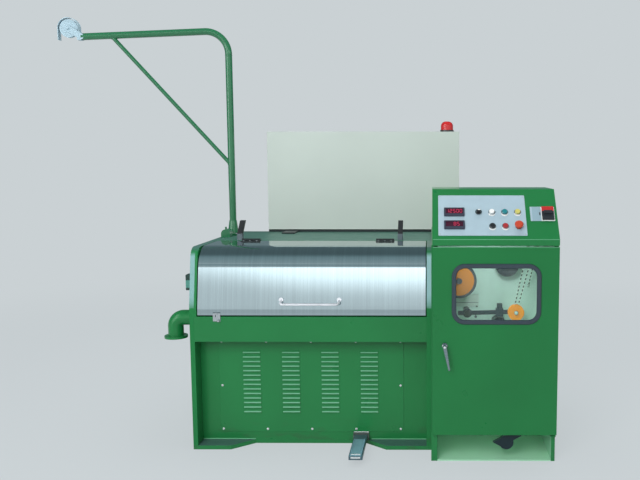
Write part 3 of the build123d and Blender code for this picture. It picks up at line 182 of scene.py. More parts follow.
class Graph:
    """A node tree that is filled from Python expressions."""

    def __init__(self, tree: bpy.types.NodeTree) -> None:
        """Empty the tree and keep it."""
        self.tree = tree
        self.tree.nodes.clear()

    def node(self, kind: str, values: Values | None = None, **settings: Any) -> bpy.types.Node:
        """Add a node of any kind.

        Args:
            kind: Blender's name of the node type, without the words ShaderNode.
            values: Numbers, colours or links for its input sockets, by name or place.
            **settings: Properties that are set first; stops gives a ramp its grey stops.

        Returns:
            The new node.
        """
        made = self.tree.nodes.new("ShaderNode" + kind)
        for name, setting in settings.items():
            if name == "stops":
                self._set_stops(made.color_ramp, setting)
            else:
                setattr(made, name, setting)
        for key, value in (values or {}).items():
            source = value.socket if isinstance(value, Signal) else value
            if isinstance(source, bpy.types.NodeSocket):
                self.tree.links.new(source, made.inputs[key])
            else:
                made.inputs[key].default_value = source
        return made

    def _set_stops(self, ramp: bpy.types.ColorRamp, stops: Sequence[tuple[float, float]]) -> None:
        """Give a ramp its stops.

        Args:
            ramp: The ramp, which starts with two stops.
            stops: Pairs of place and grey brightness.
        """
        while len(ramp.elements) < len(stops):
            ramp.elements.new(0.5)
        for element, (place, grey) in zip(ramp.elements, stops):
            element.position = place
            element.color = (grey, grey, grey, 1.0)

    @cached_property
    def place(self) -> bpy.types.NodeSocket:
        """The object coordinates as one vector."""
        return self.node("TexCoord").outputs["Object"]

    @cached_property
    def place_parts(self) -> Sequence[bpy.types.NodeSocket]:
        """The object coordinates one by one."""
        return list(self.node("SeparateXYZ", {0: self.place}).outputs)

    @cached_property
    def normal_parts(self) -> Sequence[bpy.types.NodeSocket]:
        """The parts of the surface's outward direction."""
        normal = self.node("NewGeometry").outputs["True Normal"]
        return list(self.node("SeparateXYZ", {0: normal}).outputs)

    def along(self, axis: Axis) -> Signal:
        """Give one object coordinate in metres."""
        return Signal(self, self.place_parts[axis.value])

    def facing(self, axis: Axis) -> Signal:
        """Give one part of the surface's outward direction, from -1 to 1."""
        return Signal(self, self.normal_parts[axis.value])

    def noise(self, scale: float | Row, detail: float = 3.0, seed: float = 0.0) -> Signal:
        """Give soft noise from 0 to 1.

        Args:
            scale: Cycles per metre, one number or one each along X, Y and Z.
            detail: Number of finer octaves.
            seed: Shift that makes it differ from other noises.

        Returns:
            The noise.
        """
        scales = scale if isinstance(scale, Sequence) else (scale,) * 3
        moved = self.node("Mapping", {"Vector": self.place, "Scale": scales, "Location": (seed,) * 3})
        made = self.node("TexNoise", {"Vector": moved.outputs[0], "Scale": 1.0, "Detail": detail})
        return Signal(self, made.outputs[0])

    def mix(self, factor: Signal | float, first: Any, second: Any) -> bpy.types.NodeSocket:
        """Blend two colours, from the first at 0 to the second at 1."""
        return self.node("Mix", {0: factor, 6: first, 7: second}, data_type="RGBA").outputs[2]

    def bump(self, height: Signal, depth: float, soft_edge: float = 0.0) -> bpy.types.NodeSocket:
        """Turn a height into a normal.

        Args:
            height: Height from 0 to 1.
            depth: Real height of the relief in metres.
            soft_edge: Radius in metres over which sharp edges look rounded.

        Returns:
            The normal.
        """
        values: Values = {"Height": height, "Distance": depth, "Strength": 1.0}
        if soft_edge:
            values["Normal"] = self.node("Bevel", {"Radius": soft_edge}, samples=6).outputs[0]
        return self.node("Bump", values).outputs[0]


@dataclass(frozen=True)
class Finish:
    """What every finish has: its name, its slot in the record, its colour and its gloss."""

    name: str
    slot: str
    colour: Colour
    roughness: float

    def surface(self, graph: Graph) -> Values:
        """Give the shader's socket values; each kind of finish has its own."""
        return {"Base Color": self.colour, "Roughness": self.roughness}

    def material(self) -> bpy.types.Material:
        """Make the material once and give the same one again later."""
        made = bpy.data.materials.get(self.name)
        if made is None:
            made = bpy.data.materials.new(self.name)
            made.use_nodes = True
            graph = Graph(made.node_tree)
            shader = graph.node("BsdfPrincipled", self.surface(graph))
            graph.node("OutputMaterial", {"Surface": shader.outputs[0]})
        return made

    def dress(self, *names: str) -> None:
        """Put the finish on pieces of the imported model."""
        for name in names:
            slots = NODES[name].data.materials
            slots.clear()
            slots.append(self.material())


@dataclass(frozen=True)
class Enamel(Finish):
    """Sprayed gloss enamel with a faint orange peel, uneven gloss and dirt near the floor."""

    peel: float = 0.00003
    dirt: float = 0.3
    soft_edge: float = 0.0016
    coat: float = 0.18
    mirror: float = 0.3
    cloud: float = 0.05

    def surface(self, graph: Graph) -> Values:
        """Cloudy tone, darker smudges low down, orange peel under a clear coat."""
        clouds = graph.noise(2.2, 4.0).between(0.3, 0.7)
        tone = graph.mix(clouds, shaded(self.colour, 1.0 - self.cloud), shaded(self.colour, 1.0 + self.cloud))
        blotch = graph.noise((9.0, 9.0, 26.0), 6.0, 4.0).between(0.48, 0.66)
        grime = blotch * graph.along(Axis.Z).between(0.16, 0.0) * self.dirt
        gloss = graph.noise(14.0, 3.0, 9.0)
        return {
            "Base Color": graph.mix(grime, tone, screen(58, 66, 54)),
            "Roughness": self.roughness * (0.8 + 0.4 * gloss) + 0.25 * grime,
            "Coat Weight": self.coat,
            "Coat Roughness": 0.06,
            "Specular IOR Level": self.mirror,
            "Normal": graph.bump(graph.noise(420.0, 1.0, 2.0), self.peel, self.soft_edge),
        }


@dataclass(frozen=True)
class PaintedTopLightEnamel(Enamel):
    """Enamel whose faces that tilt up by a chosen amount carry a painted tone, standing in for how light
    falls on those tops.
    """

    painted_top_light: Colour = screen(72, 108, 102)
    tilt: Row = (0.8, 0.9)
    cover: float = 0.8
    edge: float = 1.0

    def surface(self, graph: Graph) -> Values:
        """The painted light tone follows the upward part of the face's direction, in front of a chosen place.
        """
        values = super().surface(graph)
        patches = 0.75 + 0.4 * graph.noise(60.0, 4.0, 6.0)
        # Painted light: a tone on up-facing faces, with a little noise, standing in for light and shade on
        # tops.
        painted_top_light = graph.facing(Axis.Z).between(*self.tilt) * self.cover * patches
        painted_top_light = painted_top_light * graph.along(Axis.Y).between(self.edge, self.edge - 0.0012)
        values["Base Color"] = graph.mix(painted_top_light, values["Base Color"], self.painted_top_light)
        return values


@dataclass(frozen=True)
class SideEnamel(PaintedTopLightEnamel):
    """Side plates: a painted light tone on their tops, and a painted pale sheen on the leaning front edges.
    """

    pale: Colour = screen(146, 186, 190)
    pale_low: float = 0.66
    pale_high: float = 0.78
    inner_face: float = 0.5651

    def surface(self, graph: Graph) -> Values:
        """The painted sheen lies where the face leans back a little, outside the inner face, between two
        heights and stronger on the right.
        """
        values = super().surface(graph)
        up = graph.facing(Axis.Z)
        lean = up.between(0.1, 0.16) * up.between(0.7, 0.2)
        aside = graph.along(Axis.X)
        outside = aside.size().between(self.inner_face, self.inner_face + 0.0002)
        share = 0.78 + 0.22 * aside.between(0.0, 0.1)
        share = share * graph.along(Axis.Z).between(self.pale_low, self.pale_high)
        # Painted sheen: a pale tone standing in for the light caught by the leaning front edges.
        values["Base Color"] = graph.mix(lean * outside * share, values["Base Color"], self.pale)
        return values


@dataclass(frozen=True)
class LinedEnamel(Enamel):
    """Enamel outside, and the bay's paler coat on every face that looks into the housing."""

    lining: Colour = screen(150, 202, 172)
    middle: Row = (0.881, -0.105, 0.5)

    def surface(self, graph: Graph) -> Values:
        """A face looks inwards where its direction points towards the housing's middle."""
        values = super().surface(graph)
        parts = zip(Axis, self.middle)
        inwards = sum((middle - graph.along(axis)) * graph.facing(axis) for axis, middle in parts)
        values["Base Color"] = graph.mix(inwards.between(0.05, 0.1), values["Base Color"], self.lining)
        return values


@dataclass(frozen=True)
class BrushedSheet(Finish):
    """Brushed stainless sheet: fine lines down the slope and faint cloudy stains."""

    lines: Row = (260.0, 1.5, 1.5)
    depth: float = 0.00001

    def surface(self, graph: Graph) -> Values:
        """Streaks in tone, gloss and relief that all run the same way."""
        wide = graph.noise(tuple(0.16 * part for part in self.lines), 3.0, 5.0)
        streaks = 0.6 * graph.noise(self.lines, 2.0) + 0.4 * wide
        stain = graph.noise(3.0, 4.0, 8.0)
        return {
            "Base Color": graph.mix(streaks, shaded(self.colour, 0.72), shaded(self.colour, 1.08)),
            "Metallic": 1.0,
            "Roughness": self.roughness * (0.75 + 0.3 * wide + 0.2 * stain),
            "Normal": graph.bump(streaks, self.depth),
        }


@dataclass(frozen=True)
class MachinedSteel(Finish):
    """Bare steel as a lathe or grinder leaves it."""

    lines: float | Row = (120.0, 900.0, 120.0)
    depth: float = 0.000004
    soft_edge: float = 0.0006
    metal: float = 1.0
    oily: float = 0.4

    def surface(self, graph: Graph) -> Values:
        """Tool lines in relief and gloss, with a few oily patches."""
        marks = graph.noise(self.lines, 2.0, 1.0)
        oil = graph.noise(18.0, 4.0, 6.0).between(0.4, 0.7)
        return {
            "Base Color": graph.mix(self.oily * oil + 0.3 * marks, self.colour, shaded(self.colour, 0.7)),
            "Metallic": self.metal,
            "Roughness": self.roughness * (0.8 + 0.5 * marks),
            "Normal": graph.bump(marks, self.depth, self.soft_edge),
        }


@dataclass(frozen=True)
class Wire(Finish):
    """Twisted wire: bright and dark turns follow each other along its length."""

    turn: float = 0.019

    def surface(self, graph: Graph) -> Values:
        """Stripes from the sine of the height, so each turn shows a lit and a dark side."""
        dark = (graph.along(Axis.Z) * (2 * pi / self.turn)).wave().between(0.4, 0.5)
        return {
            "Base Color": graph.mix(dark, self.colour, shaded(self.colour, 0.03)),
            "Metallic": 0.2,
            "Roughness": self.roughness + 0.2 * dark,
        }


@dataclass(frozen=True)
class Moulded(Finish):
    """Moulded plastic or rubber with a fine grain."""

    grain: float = 0.00003
    pitch: float = 900.0
    soft_edge: float = 0.0008
    coat: float = 0.0
    mirror: float = 0.5

    def surface(self, graph: Graph) -> Values:
        """Fine grain with slightly uneven colour and gloss."""
        patches = graph.noise(20.0, 3.0, 3.0)
        return {
            "Base Color": graph.mix(patches, shaded(self.colour, 0.86), self.colour),
            "Roughness": self.roughness * (0.85 + 0.3 * patches),
            "Coat Weight": self.coat,
            "Specular IOR Level": self.mirror,
            "Normal": graph.bump(graph.noise(self.pitch, 2.0), self.grain, self.soft_edge),
        }


@dataclass(frozen=True)
class Banded(Moulded):
    """Two tones on one piece: its own colour between two places on an axis, another one outside."""

    other: Colour = screen(24, 42, 48)
    axis: Axis = Axis.Z
    low: float = 0.66
    high: float = 0.76

    def surface(self, graph: Graph) -> Values:
        """The two tones part at fixed places."""
        values = super().surface(graph)
        place = graph.along(self.axis)
        inside = place.between(self.low, self.low + 0.0005) * place.between(self.high, self.high - 0.0005)
        values["Base Color"] = graph.mix(inside, self.other, values["Base Color"])
        return values


@dataclass(frozen=True)
class LinerCoat(Banded):
    """The bay's pale coat, greener and a little darker near the floor, with painted shade in dark green on
    its front edge.
    """

    low_tone: Colour = screen(168, 220, 186)

    def surface(self, graph: Graph) -> Values:
        """The low tone fades in below the door, with noise in it."""
        values = super().surface(graph)
        blotch = 0.8 + 0.4 * graph.noise(12.0, 4.0, 7.0)
        share = graph.along(Axis.Z).between(0.24, 0.12) * blotch
        values["Base Color"] = graph.mix(share, values["Base Color"], self.low_tone)
        return values


@dataclass(frozen=True)
class WindowGlass(Finish):
    """Clear sheet that lets most light straight through and mirrors a little."""

    veil: float = 0.03

    def surface(self, graph: Graph) -> Values:
        """Mostly see-through, with faint smears that catch the light."""
        smear = graph.noise((6.0, 6.0, 2.0), 5.0).between(0.45, 0.75)
        return super().surface(graph) | {"Alpha": self.veil + 0.04 * smear}


@dataclass(frozen=True)
class Glow(Finish):
    """A lit display segment."""

    strength: float = 0.8

    def surface(self, graph: Graph) -> Values:
        """Light of the finish's own colour with a little unevenness."""
        tone = graph.mix(graph.noise(500.0, 1.0), shaded(self.colour, 0.7), self.colour)
        return super().surface(graph) | {"Emission Color": tone, "Emission Strength": self.strength}


@dataclass(frozen=True)
class BeaconLens(Finish):
    """Red translucent lens with moulded upright flutes over a dark foot."""

    flutes: float = 36.0
    depth: float = 0.0006
    foot: float = 0.014

    def surface(self, graph: Graph) -> Values:
        """Flutes follow the angle round the dome's own axis."""
        low, high = box("beacon")
        x, y, _ = (float(part) for part in (low + high) / 2)
        angle = (graph.along(Axis.Y) - y).angle(graph.along(Axis.X) - x)
        flute = (angle * self.flutes).wave()
        split = float(low[2]) + self.foot
        foot = graph.along(Axis.Z).between(split + 0.0002, split - 0.0002)
        return {
            "Base Color": graph.mix(foot, self.colour, screen(34, 36, 38)),
            "Roughness": self.roughness + 0.2 * foot,
            "Coat Weight": 0.6,
            "Normal": graph.bump(flute * (1.0 - foot), self.depth),
        }


@dataclass(frozen=True)
class BreakerPlastic(Finish):
    """Breaker moulding: the upper block is red and the lower one is black."""

    red: Colour = screen(182, 30, 30)
    split: float = 0.158

    def surface(self, graph: Graph) -> Values:
        """The colour changes at a height measured up the console's slope."""
        corner, axes = Console().face()
        rise = sum((graph.along(axis) - float(corner[axis.value])) * float(axes[1][axis.value])
                   for axis in (Axis.Y, Axis.Z))
        upper = rise.between(self.split - 0.0004, self.split + 0.0004)
        grain = graph.noise(900.0, 2.0)
        return {
            "Base Color": graph.mix(upper, self.colour, self.red),
            "Roughness": self.roughness + 0.05 * grain,
            "Normal": graph.bump(grain, 0.00003, 0.001),
        }


PAINT = screen(28, 118, 62)
GREEN = Enamel("green_enamel", "green_paint", PAINT, 0.3)
DOOR_GREEN = Enamel("door_enamel", "green_paint", screen(22, 113, 57), 0.3)
HOUSING = LinedEnamel("housing_enamel", "green_paint", PAINT, 0.3)
# Top plate: the grey-teal tone on its upward faces is a painted reflection.
TOP_GREEN = PaintedTopLightEnamel("top_enamel", "green_paint", PAINT, 0.42, coat=0.0, mirror=0.2, cover=0.9)
# Side plates: painted tone on their tops and painted sheen on their leaning front edges.
SIDE_GREEN = SideEnamel("side_enamel", "green_paint", PAINT, 0.34, mirror=0.2, tilt=(0.55, 0.95), cover=0.9)
# Base plate: the grey tone on its ledge tops is painted shade.
FOOT_GREEN = PaintedTopLightEnamel("foot_enamel", "green_paint", PAINT, 0.36, painted_top_light=screen(76, 106, 104), cover=0.95)
# Louvres: the pale tone on the hoods' slanted faces near the front is a painted highlight.
LOUVRE_GREEN = PaintedTopLightEnamel(
    "louvre_enamel", "green_paint", screen(30, 120, 64), 0.3,
    painted_top_light=screen(126, 190, 156), tilt=(0.4, 0.5), edge=-0.3765,
)
TUBE_GREEN = Enamel(
    "tube_enamel", "green_paint", screen(34, 110, 70), 0.22,
    dirt=0.0, peel=0.0, soft_edge=0.0, coat=1.0,
)
# Pale green for beads on edges: the paleness is a painted highlight.
EDGE_HIGHLIGHT = Enamel("edge_highlight_enamel", "green_paint", screen(104, 176, 134), 0.3, dirt=0.0, peel=0.0)
CREAM = Enamel("cream_enamel", "cream_paint", screen(201, 211, 204), 0.4, dirt=0.0, coat=0.1, cloud=0.02)
TREAD = Enamel("tread_enamel", "tread_paint", screen(116, 156, 170), 0.38, dirt=0.2, coat=0.1)
# Bay coat: the dark green on the liner's front edge, in front of y -0.5912, is painted shade in the door gap.
LINER = LinerCoat(
    "liner_enamel", "liner_paint", screen(192, 228, 218), 0.34,
    other=screen(18, 78, 42), axis=Axis.Y, low=-0.5912, high=0.5, mirror=0.3,
)
BRACKETS = Banded("bracket_enamel", "liner_paint", screen(184, 212, 202), 0.34, mirror=0.3)
PLATE = Banded(
    "plate_enamel", "face_plate", screen(165, 189, 201), 0.34,
    other=screen(138, 166, 178), axis=Axis.X, low=0.5, high=1.06, grain=0.0,
)
INLET = Banded(
    "inlet_casting", "bright_steel", screen(84, 150, 138), 0.4,
    other=screen(30, 58, 52), low=0.79, high=0.828,
)
STOP_RUBBER = Banded(
    "stop_rubber_on_foot", "stop_rubber", screen(104, 116, 124), 0.55,
    other=screen(38, 40, 42), low=0.99, high=1.0342,
)
COVER_SHEET = BrushedSheet("brushed_sheet", "brushed_cover", screen(186, 202, 207), 0.07)
PULLEY = MachinedSteel(
    "pulley_alloy", "bright_steel", screen(176, 202, 214), 0.34,
    lines=12.0, depth=0.0, soft_edge=0.0, metal=0.1, oily=0.05,
)
BRIGHT = MachinedSteel("bright_turned", "bright_steel", screen(206, 212, 216), 0.2)
DARK_SHAFT = MachinedSteel("oiled_shaft", "bright_steel", screen(84, 96, 98), 0.3)
GROUND = MachinedSteel("ground_turned", "ground_steel", screen(176, 180, 184), 0.32)
SCREW = MachinedSteel("screw_steel", "ground_steel", screen(226, 230, 232), 0.24, metal=0.5)
HANDLE = MachinedSteel("handle_steel", "chrome", screen(236, 238, 244), 0.2, metal=0.4, depth=0.0)
LEVER_STEEL = MachinedSteel("lever_steel", "chrome", screen(150, 166, 172), 0.25)
CHROME = MachinedSteel("polished_chrome", "chrome", screen(226, 230, 232), 0.07, depth=0.0)
CHANNEL = Moulded("channel_enamel", "black_steel", screen(66, 92, 102), 0.4)
PEDAL_FOOT = Moulded("pedal_foot_enamel", "black_steel", screen(84, 96, 90), 0.5)
BLACK_STEEL = Moulded("black_enamel", "black_steel", screen(40, 46, 48), 0.4)
DANCER_PAINT = Moulded("dancer_enamel", "black_steel", screen(46, 64, 70), 0.4, mirror=0.3)
GASKET = Moulded("profile_rubber", "gasket_rubber", screen(50, 62, 72), 0.45, grain=0.00006)
DARK_HOLE = Moulded("dark_recess", "gasket_rubber", screen(24, 30, 30), 0.7)
# Two oranges: a darker one on the guide wheel's disc and a brighter one on the dancer's pulley.
ORANGE = Moulded("dark_orange_nylon", "orange_plastic", screen(202, 128, 38), 0.4, mirror=0.15)
BRIGHTER_ORANGE = Moulded("orange_nylon", "orange_plastic", screen(246, 158, 24), 0.4, mirror=0.15)
BLACK = Moulded("black_moulding", "black_plastic", screen(36, 38, 42), 0.36)
METER = Moulded("meter_moulding", "black_plastic", screen(56, 62, 78), 0.4)
WHITE = Moulded("white_moulding", "white_plastic", screen(240, 242, 240), 0.25, coat=0.4)
TEAL = Moulded("teal_moulding", "teal_plastic", screen(28, 128, 136), 0.25, coat=0.4)
YELLOW = Moulded("yellow_moulding", "yellow_plastic", screen(206, 198, 102), 0.25, coat=0.4)
RED = Moulded("red_moulding", "red_plastic", screen(168, 44, 48), 0.3, coat=0.2)
STOP_RED = Moulded("stop_moulding", "red_plastic", screen(196, 66, 38), 0.34, coat=0.15, pitch=700.0)
PANE = Moulded("display_pane", "red_plastic", screen(66, 18, 42), 0.25, grain=0.0, coat=0.3)
GLASS = WindowGlass("clear_sheet", "window_glass", screen(214, 232, 226), 0.03)
BEACON = BeaconLens("beacon_lens", "beacon_red", screen(198, 24, 26), 0.16)
BREAKER = BreakerPlastic("breaker_moulding", "black_plastic", screen(40, 44, 50), 0.35)
DIGIT = Glow("lit_bars", "red_plastic", screen(168, 34, 66), 0.3)
WIRE = Wire("twisted_wire", "bright_steel", screen(206, 228, 214), 0.35)


def new_object(name: str, data: bpy.types.ID) -> bpy.types.Object:
    """Put an object with the given data into the scene, at the origin."""
    made = bpy.data.objects.new(name, data)
    bpy.context.scene.collection.objects.link(made)
    return made


@dataclass
class Shell:
    """Points and quads of a surface that isn't a mesh yet."""

    points: Array
    quads: Array

    @classmethod
    def grid(cls, points: Array, closed: bool = False) -> "Shell":
        """Join neighbouring points of a grid with quads; every row is a closed ring.

        Args:
            points: Array of rows by columns by 3.
            closed: Whether the last row joins the first.

        Returns:
            The shell.
        """
        rows, columns = points.shape[:2]
        index = np.arange(rows * columns).reshape(rows, columns)
        index = np.hstack([index, index[:, :1]])
        if closed:
            index = np.vstack([index, index[:1]])
        corners = (index[:-1, :-1], index[:-1, 1:], index[1:, 1:], index[1:, :-1])
        return cls(points.reshape(-1, 3), np.stack(corners, axis=-1).reshape(-1, 4))

    @classmethod
    def joined(cls, shells: Sequence["Shell"]) -> "Shell":
        """Join several shells in order."""
        return sum(shells[1:], shells[0])

    def __add__(self, other: "Shell") -> "Shell":
        """Join two shells: the second one's quads count on from the first one's points."""
        quads = np.vstack([self.quads, other.quads + len(self.points)])
        return Shell(np.vstack([self.points, other.points]), quads)

    def at(self, spots: Array | Row | Rows, axes: Array = UPRIGHT) -> "Shell":
        """Put a copy at every spot: the spot plus each local coordinate times its axis.

        Args:
            spots: One place or several.
            axes: Directions of local X, Y and Z.

        Returns:
            All copies as one shell.
        """
        places = np.atleast_2d(spots)
        points = (self.points @ axes)[None] + places[:, None]
        first = len(self.points) * np.arange(len(places))[:, None, None]
        return Shell(points.reshape(-1, 3), (self.quads[None] + first).reshape(-1, 4))

    def piece(self, name: str, finish: Finish, body: Body | None = Body.MACHINE) -> bpy.types.Object:
        """Turn the shell into a finished piece, with edges sharp where they bend by over 35 degrees.

        Args:
            name: Name of the piece.
            finish: Its finish.
            body: The moving group that it rides on, or None to leave it unattached.

        Returns:
            The new object.
        """
        mesh = bpy.data.meshes.new(name)
        mesh.from_pydata(self.points, [], self.quads)
        welded = bmesh.new()
        welded.from_mesh(mesh)
        bmesh.ops.remove_doubles(welded, verts=welded.verts, dist=1e-6)
        bmesh.ops.dissolve_degenerate(welded, edges=welded.edges, dist=1e-7)
        bmesh.ops.recalc_face_normals(welded, faces=welded.faces)
        welded.to_mesh(mesh)
        welded.free()
        mesh.shade_smooth()
        mesh.set_sharp_from_angle(angle=radians(35.0))
        mesh.materials.append(finish.material())
        made = new_object(name, mesh)
        if body is not None:
            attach(made, body.value)
        LOG.info("%s: %d faces", name, len(mesh.polygons))
        return made


def revolve(profile: Rows, sides: int = 24, corners: int = 0) -> Shell:
    """Turn a profile about the local Z axis.

    The point is (r cos t, r sin t, h). Where a third profile value is above 0, r is drawn in
    towards a regular polygon: r times cos(half) / cos(t folded into one side).

    Args:
        profile: Pairs of radius and height from bottom to top, with an optional share of polygon.
        sides: Number of points round the axis.
        corners: Corners of the polygon.

    Returns:
        The turned shell.
    """
    rows = np.array([list(row) + [0.0] * (3 - len(row)) for row in profile])
    turn = np.linspace(0.0, 2 * pi, sides, endpoint=False)
    flat = np.ones(sides)
    if corners:
        half = pi / corners
        flat = cos(half) / np.cos((turn + half) % (2 * half) - half)
    radius = rows[:, :1] * (1 - rows[:, 2:] + rows[:, 2:] * flat)
    height = np.broadcast_to(rows[:, 1:2], radius.shape)
    return Shell.grid(np.stack([radius * np.cos(turn), radius * np.sin(turn), height], -1))


def slab(width: float, height: float, thick: float, radius: float, edge: float) -> Shell:
    """Make a rounded plate with softened edges, centred on the local Z axis.

    Every level is a rounded rectangle: each corner is its centre plus radius times (cos t, sin t).
    Near both faces the rectangle is inset, and the first and last rows shrink to the middle.

    Args:
        width: Size along local X.
        height: Size along local Y.
        thick: Size along local Z, from 0 upwards.
        radius: Corner radius of the outline.
        edge: Radius of the softened edges.

    Returns:
        The plate.
    """
    small = 0.3 * edge
    inset = np.array([edge, small, 0.0, 0.0, small, edge])
    level = np.array([0.0, small, edge, thick - edge, thick - small, thick])
    bend = np.maximum(radius - inset, 1e-5)[:, None]
    turn = np.linspace(0.0, pi / 2, 5) + np.arange(4)[:, None] * pi / 2
    arc = np.stack([np.cos(turn), np.sin(turn)], -1)
    half = (np.array([width, height]) - 2 * inset[:, None]) / 2 - bend
    signs = np.array([[1, 1], [-1, 1], [-1, -1], [1, -1]])
    rings = (signs * half[:, None])[:, :, None] + bend[:, :, None, None] * arc
    points = np.zeros((8, 20, 3))
    points[1:-1, :, :2] = rings.reshape(6, 20, 2)
    points[:, :, 2] = np.concatenate([level[:1], level, level[-1:]])[:, None]
    return Shell.grid(points)


def sweep(path: Array, section: Array, across: Array, closed: bool = False) -> Shell:
    """Carry a closed section along a path that lies in a plane.

    The point is the path's point plus u times the across axis plus v times the path's own
    sideways direction, which is across turned a quarter from the tangent.

    Args:
        path: Points of the path, in order.
        section: Pairs of u and v, counter-clockwise.
        across: Unit vector square to the path's plane.
        closed: Whether the path is a loop; otherwise both ends are capped.

    Returns:
        The swept shell.
    """
    if closed:
        tangent = np.roll(path, -1, axis=0) - np.roll(path, 1, axis=0)
    else:
        tangent = np.gradient(path, axis=0)
    tangent = tangent / np.linalg.norm(tangent, axis=1, keepdims=True)
    side = np.cross(tangent, across)
    rows = path[:, None] + section[None, :, :1] * across + section[None, :, 1:] * side[:, None]
    if not closed:
        ends = [np.repeat(path[i][None, None], rows.shape[1], axis=1) for i in (0, -1)]
        rows = np.concatenate([ends[0], rows, ends[1]])
    return Shell.grid(rows, closed)


def circle(radius: float, sides: int) -> Array:
    """Give a round section: radius times (cos t, sin t)."""
    turn = np.linspace(0.0, 2 * pi, sides, endpoint=False)
    return radius * np.column_stack([np.cos(turn), np.sin(turn)])


def bead(left: float, right: float, y: float, z: float, radius: float) -> Shell:
    """Lay a round bead from left to right at one depth and height, capped at both ends."""
    return sweep(np.linspace((left, y, z), (right, y, z), 3), circle(radius, 10), Y)


def cap_screw(radius: float) -> Shell:
    """Make a domed screw head with a hexagon socket.

    Args:
        radius: Radius of the head.

    Returns:
        The head, seated on local Z = 0.
    """
    rise = 0.62 * radius
    profile = (
        (0.0, 0.0), (radius, 0.0), (radius, 0.35 * rise), (0.88 * radius, 0.75 * rise), (0.6 * radius, rise),
        (0.48 * radius, rise, 1.0), (0.46 * radius, 0.4 * rise, 1.0), (0.0, 0.4 * rise),
    )
    return revolve(profile, 24, 6)


def hex_bolt(radius: float) -> Shell:
    """Make a hexagon head on a washer.

    Args:
        radius: Radius over the head's corners.

    Returns:
        The head, seated on local Z = 0.
    """
    shape = (
        (0.0, 0.0, 0.0), (1.35, 0.0, 0.0), (1.35, 0.18, 0.0), (1.0, 0.18, 1.0), (1.0, 0.78, 1.0),
        (0.86, 0.86, 0.3), (0.0, 0.86, 0.0),
    )
    return revolve(np.array(shape) * (radius, radius, 1.0), 24, 6)


def edge_spots(low: Row, high: Row, inset: float, counts: tuple[int, int]) -> Array:
    """List evenly spaced places round a rectangle's edge.

    Args:
        low: Lower left corner.
        high: Upper right corner.
        inset: Distance from the edges.
        counts: Places along the upper edge and along the left edge, corners included.

    Returns:
        Rows of two coordinates.
    """
    across = np.linspace(low[0] + inset, high[0] - inset, counts[0])
    upwards = np.linspace(low[1] + inset, high[1] - inset, counts[1])
    on_edge = np.ones(counts, bool)
    on_edge[1:-1, 1:-1] = False
    return np.column_stack([places[on_edge] for places in np.meshgrid(across, upwards, indexing="ij")])


def meeting_curve(foot: Array, along: Array, radius: float, axis: Array, reach: float) -> Array:
    """Trace where a thin tube meets the outside of a thick one.

    Every point starts at foot + radius (cos t u + sin t v) and slides by s along the thin tube
    until its distance from the thick tube's axis is that tube's radius, which is the larger
    root of a quadratic in s.

    Args:
        foot: Point where both centre lines cross.
        along: Unit direction of the thin tube, away from the thick one.
        radius: Radius of the thin tube.
        axis: Unit direction of the thick tube.
        reach: Radius of the thick tube.

    Returns:
        The closed curve's points.
    """
    u = np.cross(along, axis)
    u = u / np.linalg.norm(u)
    ring = circle(radius, 32)
    gap = ring[:, :1] * u + ring[:, 1:] * np.cross(along, u)
    points = foot + gap
    gap = gap - (gap @ axis)[:, None] * axis
    slope = along - (along @ axis) * axis
    a, b, c = slope @ slope, gap @ slope, (gap * gap).sum(axis=1) - reach**2
    slide = (np.sqrt(b * b - a * c) - b) / a
    return points + slide[:, None] * along


@dataclass
class SubAssembly:
    """What every sub-assembly shares: the screws round an upright sheet and the beads' end gap."""

    end_gap: float = 0.002

    def rim_screws(
        self,
        radius: float,
        low: Array,
        high: Array,
        y: float,
        inset: float,
        counts: tuple[int, int],
        axes: Array,
    ) -> Shell:
        """Put cap screws at even steps round an upright rectangle.

        Args:
            radius: Radius of the screws' heads.
            low: Lowest corner of the sheet.
            high: Highest corner of the sheet.
            y: Depth of the face that they sit on.
            inset: Distance from the sheet's edges.
            counts: Screws along the upper edge and along the left edge.
            axes: Directions of the heads.

        Returns:
            All screws.
        """
        spots = edge_spots(low[::2], high[::2], inset, counts)
        return cap_screw(radius).at(np.insert(spots, 1, y, axis=1), axes)


